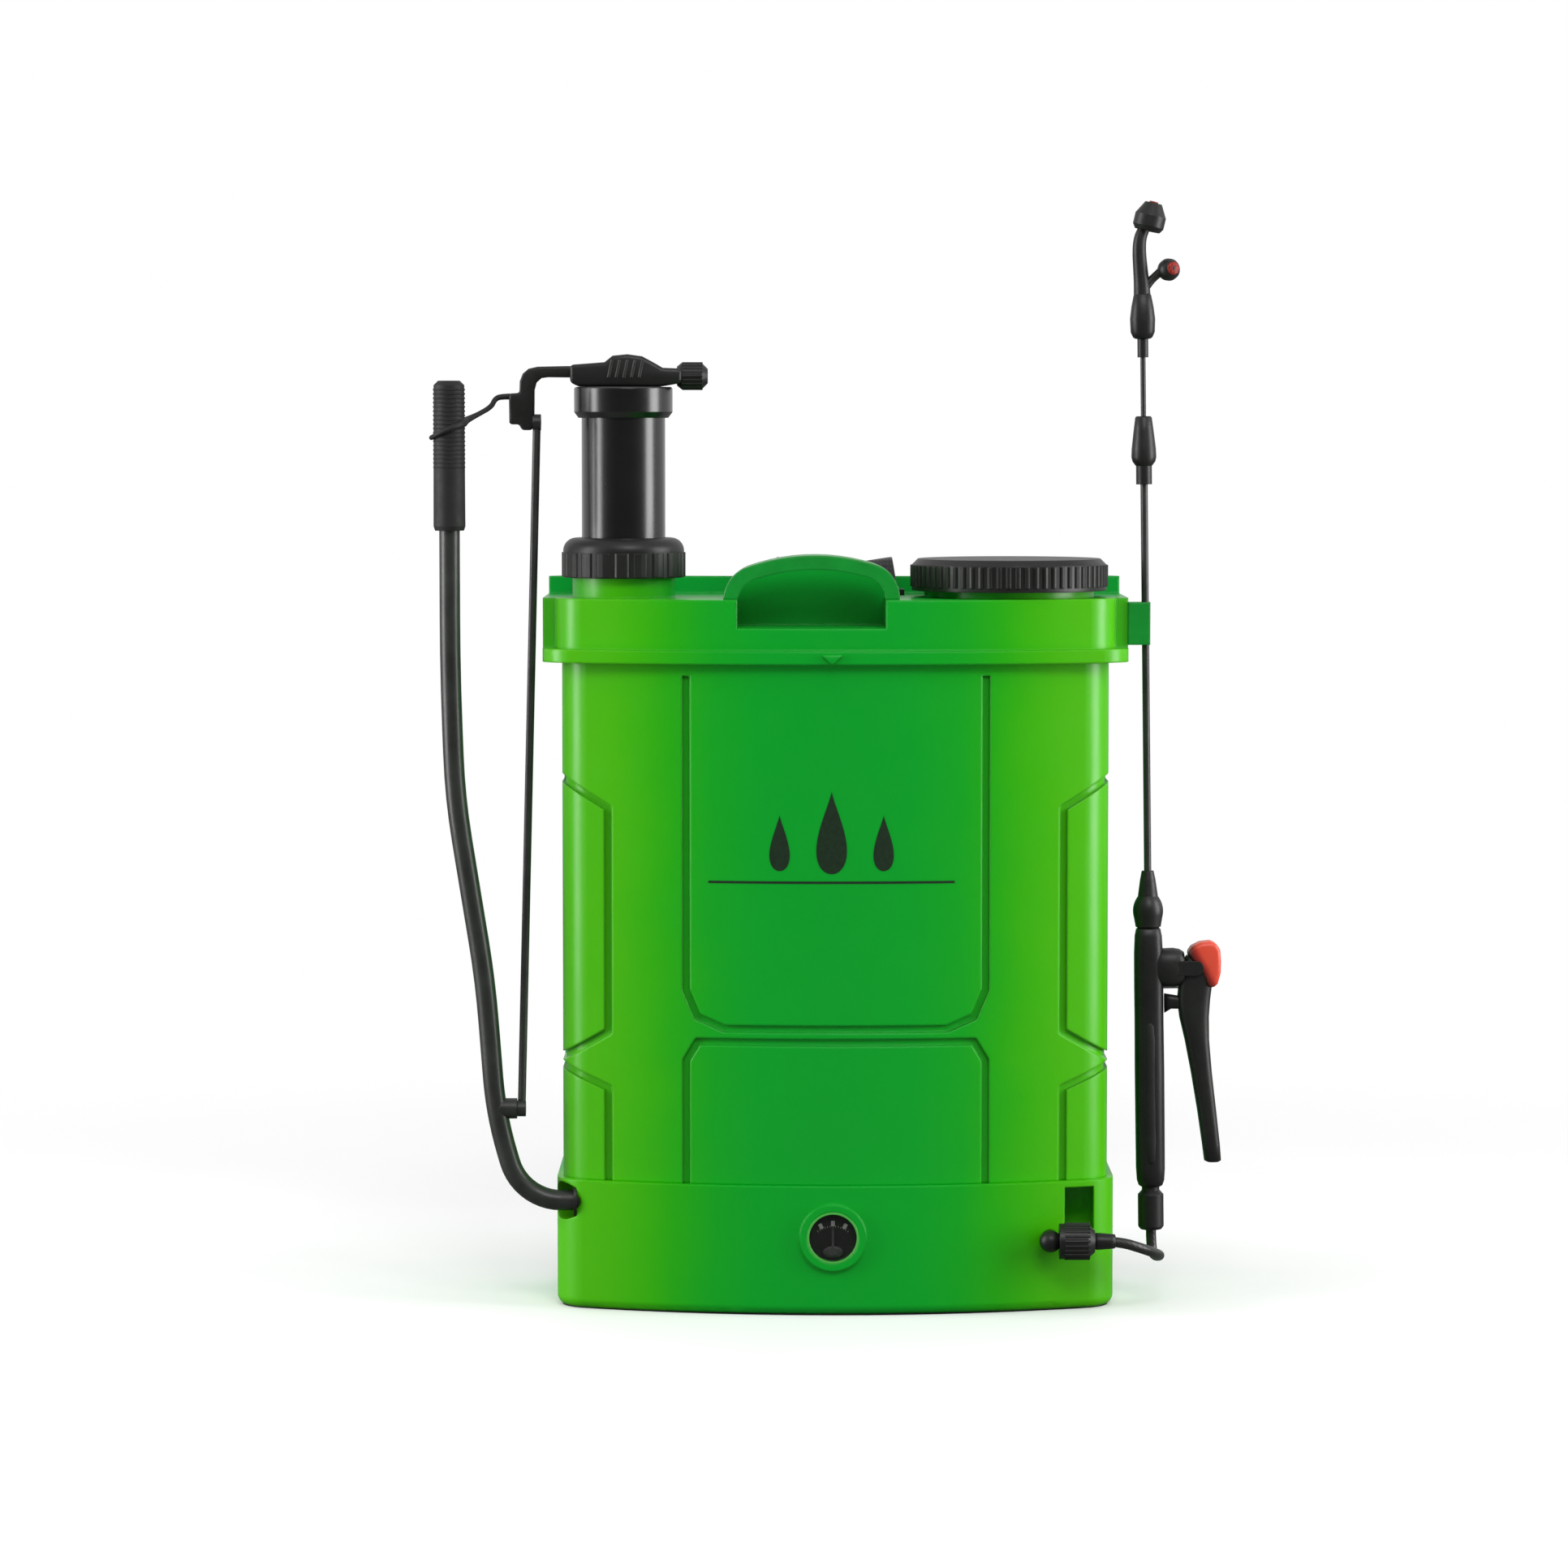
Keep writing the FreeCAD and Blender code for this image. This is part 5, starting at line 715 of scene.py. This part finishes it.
def rod_along(name, points, finish):
    """A smooth round form along points of (place, radius), as a plain mesh."""
    line = bpy.data.curves.new(name + "_line", "CURVE")
    line.dimensions = "3D"
    spline = line.splines.new("NURBS")
    spline.points.add(len(points) - 1)
    for knot, (at, radius) in zip(spline.points, points):
        knot.co = (*at, 1.0)
        knot.radius = radius / 0.001
    spline.order_u = 3
    spline.use_endpoint_u = True
    spline.resolution_u = 10
    line.bevel_depth = 0.001
    line.bevel_resolution = 5
    line.use_fill_caps = True
    seed = put(name + "_seed", line)
    mesh = bpy.data.meshes.new_from_object(seed.evaluated_get(bpy.context.evaluated_depsgraph_get()))
    bpy.data.objects.remove(seed)
    mesh.name = name
    for polygon in mesh.polygons:
        polygon.use_smooth = True
    return put(name, mesh, finish)


# The tie is one moulding: a hooked end on the arm's lug, a tongue, and a turn round the grip.
tie_line = []
for x, y, z, radius in (
        (-219, -14, 619.5, 2.2), (-228, -16, 619.6, 2.0), (-232, -18, 617.6, 1.8),
        (-234, -22, 612.5, 1.8), (-243, -34, 607, 1.7), (-250, -44, 603.4, 2.4),
        (-251.5, -53, 601.5, 3.3), (-254.5, -61, 600, 2.6), (-260, -64.2, 597.6, 1.9),
        (-268, -62.6, 594, 1.7), (-273, -56, 591.6, 1.6), (-273, -47, 591.6, 1.6),
        (-266, -40.4, 594.5, 1.6), (-256, -40.6, 598.5, 1.6), (-250.4, -46.5, 601.5, 1.7)):
    tie_line.append((Vector((x, y, z)) / 1000, radius / 1000))
rubber_tie = rod_along("rubber_tie", tie_line, rubber)
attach(rubber_tie, "pump_lever")
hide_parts("handle_tie")

# ---------------------------------------------------------------- wand
# The handle is a hollow black moulding round the valve. A sprung trigger hangs from a pin at its
# side under a red hood that locks it; the valve's stem and the pin show between them.
dress(black_abs, "trigger_pin", "lance_nut", "telescope_collet", "nozzle_ferrule", "nozzle_cap_top")
LEAN = math.radians(0.8)
WAND_UP = Vector((-math.sin(LEAN), 0, math.cos(LEAN)))
WAND_RIGHT = Vector((math.cos(LEAN), 0, math.sin(LEAN)))
WAND_FOOT = Vector((0.2168, -0.030, 0.050))


def on_wand(across, along, ahead=0.0):
    """A place given from the wand's foot, in millimetres across, along and ahead of its axis."""
    return WAND_FOOT + WAND_RIGHT * across / 1000 + WAND_UP * along / 1000 + AHEAD * ahead / 1000


def wand_form(name, stations, finish, power=2.0):
    """A form along the wand from stations of (across, along, half width, half depth) in mm."""
    rings = [oval(on_wand(across, along), WAND_RIGHT, AHEAD, wide / 1000, deep / 1000, power)
             for across, along, wide, deep in stations]
    return loft(name, rings, finish)


wand_handle = wand_form("wand_handle", [
    (0, 29.5, 6.6, 6.6), (0, 30.5, 8.2, 8.2), (0, 34, 9.4, 9.6), (0, 42, 9.9, 10.2),
    (0, 70, 10.0, 10.6), (0, 110, 10.1, 10.8), (0, 145, 9.9, 10.4), (0, 165, 10.0, 10.2),
    (0, 190, 9.9, 10.0), (0, 202, 9.3, 9.4), (0, 206.5, 8.4, 8.4), (0, 208, 7.0, 7.0)], black_abs, 2.7)
boss_rings = []
for across, radius in ((2, 9.0), (6, 12.0), (9, 13.2), (17, 13.4), (21, 12.6), (24, 10.8), (24.4, 9.6)):
    boss_rings.append(oval(on_wand(across, 180), AHEAD, WAND_UP, radius * 0.8 / 1000, radius / 1000, 2.6))
valve_boss = loft("valve_boss", boss_rings, black_abs)
guard_rings = []
for across, along, tall in ((10.5, 155.5, 6.8), (15, 156.5, 5.0), (20, 156, 4.6),
                            (25, 154.5, 5.6), (28, 153, 6.6)):
    guard_rings.append(oval(on_wand(across, along), AHEAD, WAND_UP, 0.0042, tall / 1000, 2.6))
trigger_guard = loft("trigger_guard", guard_rings, black_abs)
grip_inlay = wand_form("grip_inlay", [
    (0, 46, 3.0, 10.4), (0, 48, 5.2, 10.9), (0, 60, 6.0, 11.2), (0, 130, 6.0, 11.3),
    (0, 141, 5.2, 10.9), (0, 143, 3.0, 10.4)], rubber, 2.6)
for piece, body in ((wand_handle, "root"), (valve_boss, "root"), (trigger_guard, "trigger"),
                    (grip_inlay, "root")):
    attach(piece, body)
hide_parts("trigger_handle")

trigger_blade = wand_form("trigger_blade", [
    (42.8, 46, 4.0, 5.6), (42.6, 47, 5.8, 7.2), (41.6, 58, 6.1, 7.7), (38.8, 82, 6.5, 7.8),
    (35.4, 108, 7.2, 7.8), (32.6, 130, 8.4, 7.8), (30.8, 146, 10.2, 7.8), (30.6, 158, 11.4, 7.8),
    (32, 170, 11.6, 7.8), (33, 182, 11.2, 7.8), (34, 188, 8.4, 6.8), (34, 190, 4.0, 4.0)],
    black_abs, 2.8)
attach(trigger_blade, "trigger")
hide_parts("trigger_lever")

# Painted shade: the hood's red is darkened to near black towards its lower left, where it tucks in beside the
# valve.
hood_red = Finish("moulded_polypropylene_red_painted_shade", Roughness=0.34, IOR=1.49, Subsurface_Weight=0.05,
                  Subsurface_Scale=0.004)
hood_at = add(hood_red.tree, "ShaderNodeSeparateXYZ", {"Vector": hood_red.place}).outputs
hood_mix = add(hood_red.tree, "ShaderNodeMath", {0: hood_at["Z"], 1: 0.55}, operation="MULTIPLY")
hood_sum = add(hood_red.tree, "ShaderNodeMath", {0: hood_at["X"], 1: hood_mix.outputs["Value"]},
               operation="ADD")
hood_painted_shade = add(hood_red.tree, "ShaderNodeMapRange", {
    "Value": hood_sum.outputs["Value"], "From Min": 0.3735, "From Max": 0.3835})
# Painted shade: near black at the lower left, full red towards the upper right.
hood_red.colour(ramp(hood_red.tree, hood_painted_shade.outputs["Result"], [
    (0.0, "2A1210"), (0.5, "9C2820"), (0.85, "DE4A35"), (1.0, "E24E38")]))
hood_red.rough(hood_red.noise(3), 0.28, 0.42)
hood_red.relief(hood_red.noise(0.8, 2.0), 0.00003, 0.0008)
hood_outline = [
    (0.2400, 0.2400), (0.2432, 0.2448), (0.2490, 0.2478), (0.2560, 0.2486), (0.2605, 0.2470),
    (0.2628, 0.2425), (0.2634, 0.2350), (0.2632, 0.2270), (0.2612, 0.2195), (0.2575, 0.2160),
    (0.2545, 0.2180), (0.2528, 0.2230), (0.2490, 0.2290), (0.2440, 0.2345)]
trigger_hood = slab("trigger_hood", hood_outline, -0.0212, 0.0176, 0.0030, hood_red)
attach(trigger_hood, "trigger_lock")
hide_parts("trigger_lock")

telescope_grip = wand_form("telescope_grip", [
    (0, 521.8, 4.6, 4.6), (0, 522.8, 5.8, 5.8), (0, 525.5, 7.8, 7.8), (0, 528.5, 8.5, 8.5),
    (0, 534, 8.3, 8.3), (0, 546, 6.9, 6.9), (0, 555.2, 5.7, 5.7), (0, 556.2, 4.8, 4.8)], black_abs)
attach(telescope_grip, "telescope_nut")
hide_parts("telescope_nut")

# ---------------------------------------------------------------- nozzle
# A forked body with a swept neck and a side branch. Each arm ends in a nut that holds a red disc.
nozzle_neck = rod_along("nozzle_neck", [
    (on_wand(0, 622), 0.0062), (on_wand(0, 634), 0.0060), (on_wand(-0.4, 646), 0.0054),
    (on_wand(-1.2, 656), 0.0050), (on_wand(-2.0, 668), 0.0047), (on_wand(-1.2, 677), 0.0044),
    (on_wand(1.6, 683), 0.0040), (on_wand(3.0, 687), 0.0040)], black_abs)
nozzle_branch = rod_along("nozzle_branch", [
    (on_wand(-0.5, 641), 0.0040), (on_wand(3.0, 645), 0.0034), (on_wand(8.0, 650), 0.0026),
    (on_wand(14.0, 655), 0.0032)], black_abs)
nozzle_sleeve = wand_form("nozzle_sleeve", [
    (0, 608.5, 5.0, 5.0), (0, 609.5, 6.6, 6.6), (0, 613, 8.2, 8.2), (0, 622, 8.6, 8.6),
    (0, 630, 7.6, 7.6), (0, 638, 6.0, 6.0), (0, 640, 4.5, 4.5)], black_abs, 2.3)
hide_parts("nozzle_body")
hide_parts("nozzle_nut")
side_low, side_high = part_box("nozzle_cap_side")
side_middle = (side_low + side_high) / 2
disc_out = Vector((0.42, -0.90, 0.12)).normalized()
disc_side = disc_out.cross(UP).normalized()
disc_rings = []
for push, radius in ((0.0050, 0.0046), (0.0069, 0.0044), (0.0074, 0.0038), (0.0076, 0.0012)):
    disc_rings.append(oval(side_middle + disc_out * push, disc_side, disc_side.cross(disc_out), radius, radius))
disc_red = Finish("moulded_acetal_dark_red", Roughness=0.45, IOR=1.48, Specular_IOR_Level=0.3)
disc_red.colour(ramp(disc_red.tree, disc_red.noise(0.9), [(0.35, "5A1410"), (0.65, "B03024")]))
disc_red.relief(disc_red.noise(0.9), 0.0001)
dress(disc_red, "nozzle_tips")
side_disc = loft("nozzle_disc_side", disc_rings, disc_red)
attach(side_disc, "nozzle_cap_side")
ball_rings = []
for share in (-0.99, -0.9, -0.7, -0.4, 0.0, 0.4, 0.7, 0.9, 0.99):
    radius = 0.0077 * math.sqrt(1 - share * share)
    ball_rings.append(oval(side_middle + disc_out * 0.0077 * share, disc_side,
                           disc_side.cross(disc_out), radius, radius))
side_cap = loft("nozzle_side_cap", ball_rings, black_abs)
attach(side_cap, "nozzle_cap_side")
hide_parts("nozzle_cap_side")
for piece in (nozzle_neck, nozzle_branch, nozzle_sleeve):
    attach(piece, "nozzle_head")

# ---------------------------------------------------------------- shoulder straps
# Two straps of woven polypropylene: a top run over the deck, a foam pad covered in nylon, a buckle
# and a lower run that hooks into the base. They splay outward from the deck.
dress(black_abs, "strap_buckles", "strap_anchors")
DECK = 0.483
SPLAY = math.radians(9)
APART = 0.029


def strap_place(hand, across, back, height):
    """A place on a strap: its side view turned outward about the deck."""
    turn = -hand * SPLAY
    drop_by = height - DECK
    return Vector((hand * APART + across * math.cos(turn) + drop_by * math.sin(turn), back,
                   DECK - across * math.sin(turn) + drop_by * math.cos(turn)))


def eased(points, share):
    """Points of a smooth line through the given (back, height) points."""
    line = []
    for index in range(len(points) - 1):
        a = Vector(points[max(index - 1, 0)])
        b, c = Vector(points[index]), Vector(points[index + 1])
        d = Vector(points[min(index + 2, len(points) - 1)])
        for step in range(share):
            t = step / share
            line.append(0.5 * (2 * b + (c - a) * t + (2 * a - 5 * b + 4 * c - d) * t * t
                               + (3 * b - a - 3 * c + d) * t ** 3))
    return line + [Vector(points[-1])]


def band_rings(hand, line, wide, thick, power):
    """Rings across a strap that follow its side view."""
    rings = []
    for index, spot in enumerate(line):
        run = (line[min(index + 1, len(line) - 1)] - line[max(index - 1, 0)]).normalized()
        square = Vector((-run.y, run.x))
        ends = min(index, len(line) - 1 - index)
        taper = 1.0 if power < 4 else 0.999
        ring = []
        for flat in oval((0, 0, 0), RIGHT, UP, wide / 2 * taper, thick / 2, power):
            if power < 4 and ends == 0:
                flat = flat * 0.72
            ring.append(strap_place(hand, flat.x, spot.x + square.x * flat.z, spot.y + square.y * flat.z))
        rings.append(ring)
    return rings


# Webbing: a plain weave of 1.6 mm ribs, dull, with a paler fleck.
webbing_pp = Finish("woven_polypropylene_black", Roughness=0.72, IOR=1.49, Sheen_Weight=0.25)
webbing_rib = add(webbing_pp.tree, "ShaderNodeTexWave", {
    "Vector": webbing_pp.place, "Scale": 1000 / 1.6 / 6.28}, bands_direction="Z")
webbing_row = add(webbing_pp.tree, "ShaderNodeTexWave", {
    "Vector": webbing_pp.place, "Scale": 1000 / 1.2 / 6.28}, bands_direction="X")
webbing_knot = add(webbing_pp.tree, "ShaderNodeMath", {
    0: webbing_rib.outputs["Fac"], 1: webbing_row.outputs["Fac"]}, operation="MULTIPLY")
webbing_pp.colour(ramp(webbing_pp.tree, webbing_knot.outputs["Value"], [(0.0, "101110"), (1.0, "2B2D2B")]))
webbing_pp.relief(webbing_knot.outputs["Value"], 0.0003)

# Pad cover: nylon of 0.9 mm threads drawn coarse, over foam.
cover_nylon = Finish("woven_nylon_black", Roughness=0.66, IOR=1.53, Sheen_Weight=0.35)
cover_warp = add(cover_nylon.tree, "ShaderNodeTexWave", {
    "Vector": cover_nylon.place, "Scale": 1000 / 1.4 / 6.28, "Distortion": 0.3}, bands_direction="Z")
cover_weft = add(cover_nylon.tree, "ShaderNodeTexWave", {
    "Vector": cover_nylon.place, "Scale": 1000 / 1.4 / 6.28, "Distortion": 0.3}, bands_direction="X")
cover_cross = add(cover_nylon.tree, "ShaderNodeMath", {
    0: cover_warp.outputs["Fac"], 1: cover_weft.outputs["Fac"]}, operation="MAXIMUM")
cover_nylon.colour(ramp(cover_nylon.tree, cover_cross.outputs["Value"], [(0.2, "121316"), (1.0, "2C2E33")]))
cover_nylon.relief(cover_cross.outputs["Value"], 0.0002)

TOP_RUN = [(0.026, 0.48825), (0.034, 0.49125), (0.046, 0.5045), (0.060, 0.5035), (0.075, 0.4895)]
LOW_RUN = [(0.1165, 0.1642), (0.106, 0.1388), (0.084, 0.098), (0.072, 0.0645)]
PAD_RUN = [(0.0768, 0.4878), (0.096, 0.460), (0.1135, 0.405), (0.1215, 0.335), (0.1235, 0.265),
           (0.1212, 0.1885)]


def swollen(piece, cap):
    """Blows a pad up a little with cloth pressure, then holds every point within the cap."""
    shrink = piece.modifiers.new("remesh", "REMESH")
    shrink.mode = "VOXEL"
    shrink.voxel_size = 0.0045
    graph = bpy.context.evaluated_depsgraph_get()
    start = bpy.data.meshes.new_from_object(piece.evaluated_get(graph))
    piece.modifiers.clear()
    piece.data = start
    cloth = piece.modifiers.new("cloth", "CLOTH")
    cloth.settings.use_pressure = True
    cloth.settings.uniform_pressure_force = 4
    cloth.settings.effector_weights.gravity = 0
    cloth.point_cache.frame_start = 1
    cloth.point_cache.frame_end = 20
    for number in range(1, 21):
        scene.frame_set(number)
    graph = bpy.context.evaluated_depsgraph_get()
    blown = bpy.data.meshes.new_from_object(piece.evaluated_get(graph))
    piece.modifiers.clear()
    for vert, after in zip(start.vertices, blown.vertices):
        move = after.co - vert.co
        if move.length > cap:
            move = move.normalized() * cap
        vert.co = vert.co + move
    scene.frame_set(1)
    for polygon in start.polygons:
        polygon.use_smooth = True
    smooth = piece.modifiers.new("smooth", "SUBSURF")
    smooth.levels = smooth.render_levels = 1


def stitches_tree():
    """Short stitches laid end to end along a line of given points."""
    tree, given = geometry("stitches_on_line", [
        ("Line", "Object", None), ("Pitch", "Float", 0.004), ("Thread", "Float", 0.00035),
        ("Finish", "Material", None)])
    line = add(tree, "GeometryNodeObjectInfo", {"Object": given["Line"]})
    spread = add(tree, "GeometryNodeCurveToPoints", {
        "Curve": line.outputs["Geometry"], "Length": given["Pitch"]}, mode="LENGTH")
    long = add(tree, "ShaderNodeMath", {0: given["Pitch"], 1: 0.66}, operation="MULTIPLY")
    stitch = add(tree, "GeometryNodeMeshCylinder", {
        "Vertices": 6, "Radius": given["Thread"], "Depth": long.outputs["Value"]})
    many = add(tree, "GeometryNodeInstanceOnPoints", {
        "Points": spread.outputs["Points"], "Instance": stitch.outputs["Mesh"],
        "Rotation": add(tree, "FunctionNodeAlignRotationToVector", {
            "Vector": spread.outputs["Tangent"]}, axis="Z").outputs["Rotation"]})
    real = add(tree, "GeometryNodeRealizeInstances", {"Geometry": many.outputs["Instances"]})
    finished = add(tree, "GeometryNodeSetMaterial", {
        "Geometry": real.outputs["Geometry"], "Material": given["Finish"]})
    add(tree, "NodeGroupOutput", {"Geometry": finished.outputs["Geometry"]})
    return tree


stitches_on_line = stitches_tree()
thread_grey = Finish("polyester_thread_grey", Roughness=0.6, IOR=1.54)
thread_grey.colour(ramp(thread_grey.tree, thread_grey.noise(1.5), [(0.3, "5A5C5A"), (0.7, "7A7C79")]))

for hand, side in ((-1, "left"), (1, "right")):
    for run, label in ((TOP_RUN, "top"), (LOW_RUN, "low")):
        strip = loft("webbing_%s_%s" % (label, side), band_rings(hand, eased(run, 8), 0.030, 0.0021, 7.0),
                     webbing_pp)
        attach(strip, "root")
        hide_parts("strap_webbing")
    pad_line = eased(PAD_RUN, 10)
    pad = loft("shoulder_pad_cover_" + side, band_rings(hand, pad_line, 0.0535, 0.0085, 3.2), cover_nylon)
    swollen(pad, 0.0016)
    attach(pad, "root")
    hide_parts("shoulder_pad_" + side)
    piping_points = []
    for across in (-0.0268, 0.0268):
        edge = [strap_place(hand, across, spot.x, spot.y) for spot in pad_line[1:-1]]
        piping_points.append([(place, 0.0016) for place in edge])
    for points, label in zip(piping_points, ("inner", "outer")):
        piping = rod_along("pad_piping_%s_%s" % (label, side), points, rubber)
        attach(piping, "root")
    for across, label in ((-0.020, "inner"), (0.020, "outer")):
        seam = bpy.data.curves.new("seam", "CURVE")
        seam.dimensions = "3D"
        seam_line = seam.splines.new("POLY")
        seam_line.points.add(len(pad_line) - 5)
        for knot, index in zip(seam_line.points, range(2, len(pad_line) - 2)):
            run = (pad_line[index + 1] - pad_line[index - 1]).normalized()
            out = Vector((-run.y, run.x)) * 0.0061
            knot.co = (*strap_place(hand, across, pad_line[index].x + out.x, pad_line[index].y + out.y), 1.0)
        seam_guide = put("seam_guide", seam)
        stitches = grown("pad_stitches_%s_%s" % (label, side), stitches_on_line, thread_grey,
                         Line=seam_guide, Pitch=0.0042)
        bpy.data.objects.remove(seam_guide)
        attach(stitches, "root")

# ---------------------------------------------------------------- floor and light
# A plain pale floor, a white room, two tall side boxes and a soft box above the front.
floor_mesh = bpy.data.meshes.new("floor")
floor_mesh.from_pydata([(-9, -9, 0), (9, -9, 0), (9, 9, 0), (-9, 9, 0)], [], [(0, 1, 2, 3)])
floor_paint = Finish("painted_floor_pale", Roughness=0.75)
floor_tone = ramp(floor_paint.tree, floor_paint.noise(300), [(0.3, "F2F2F2"), (0.7, "F6F6F6")])
floor_path = add(floor_paint.tree, "ShaderNodeLightPath").outputs["Is Camera Ray"]
floor_bounce = add(floor_paint.tree, "ShaderNodeMix", {
    "Factor": floor_path, "A": linear("707270"), "B": floor_tone}, data_type="RGBA")
floor_paint.colour(floor_bounce.outputs["Result"])
floor_out = add(floor_paint.tree, "ShaderNodeVectorMath", {0: floor_paint.place}, operation="LENGTH")
floor_far = add(floor_paint.tree, "ShaderNodeMapRange", {
    "Value": floor_out.outputs["Value"], "From Min": 0.45, "From Max": 1.3}, interpolation_type="SMOOTHSTEP")
floor_glow = add(floor_paint.tree, "ShaderNodeEmission", {"Color": (1, 1, 1, 1)})
floor_seen = add(floor_paint.tree, "ShaderNodeMath", {
    0: floor_far.outputs["Result"], 1: floor_path},
    operation="MULTIPLY")
floor_mix = add(floor_paint.tree, "ShaderNodeMixShader", {
    0: floor_seen.outputs["Value"], 1: floor_paint.shader.outputs["BSDF"], 2: floor_glow.outputs["Emission"]})
floor_paint.tree.links.new(floor_mix.outputs["Shader"],
                           floor_paint.tree.nodes["Material Output"].inputs["Surface"])
floor = put("floor", floor_mesh, floor_paint)

room = bpy.data.worlds.new("white_room")
scene.world = room
room.use_nodes = True
walls = room.node_tree
facing = add(walls, "ShaderNodeSeparateXYZ", {
    "Vector": add(walls, "ShaderNodeTexCoord").outputs["Generated"]}).outputs
lifted = add(walls, "ShaderNodeMath", {0: facing["Z"], 1: 0.9, 2: facing["Y"]},
             operation="MULTIPLY_ADD")
depth = add(walls, "ShaderNodeMapRange", {
    "Value": lifted.outputs["Value"], "From Min": -0.9, "From Max": 0.1, "To Min": 0.07, "To Max": 0.72})
plain = add(walls, "ShaderNodeMix", {
    "Factor": add(walls, "ShaderNodeLightPath").outputs["Is Camera Ray"],
    "A": depth.outputs["Result"], "B": 1.0}, data_type="FLOAT")
walls.links.new(plain.outputs["Result"], walls.nodes["Background"].inputs["Strength"])
walls.nodes["Background"].inputs["Color"].default_value = (1, 1, 1, 1)


def soft_box(name, at, towards, wide, tall, watts):
    """A rectangular soft light."""
    light = bpy.data.lights.new(name, "AREA")
    light.shape = "RECTANGLE"
    light.size = wide
    light.size_y = tall
    light.energy = watts
    made = bpy.data.objects.new(name, light)
    made.location = at
    made.rotation_euler = (Vector(towards) - Vector(at)).to_track_quat("-Z", "Y").to_euler()
    scene.collection.objects.link(made)


soft_box("left_box", (-1.75, -0.40, 0.62), (0, 0, 0.45), 0.8, 1.6, 30)
soft_box("right_box", (1.75, -0.40, 0.62), (0, 0, 0.45), 0.8, 1.6, 30)
soft_box("front_box", (0.5, -2.6, 2.6), (0, 0, 0.3), 1.6, 1.0, 36)
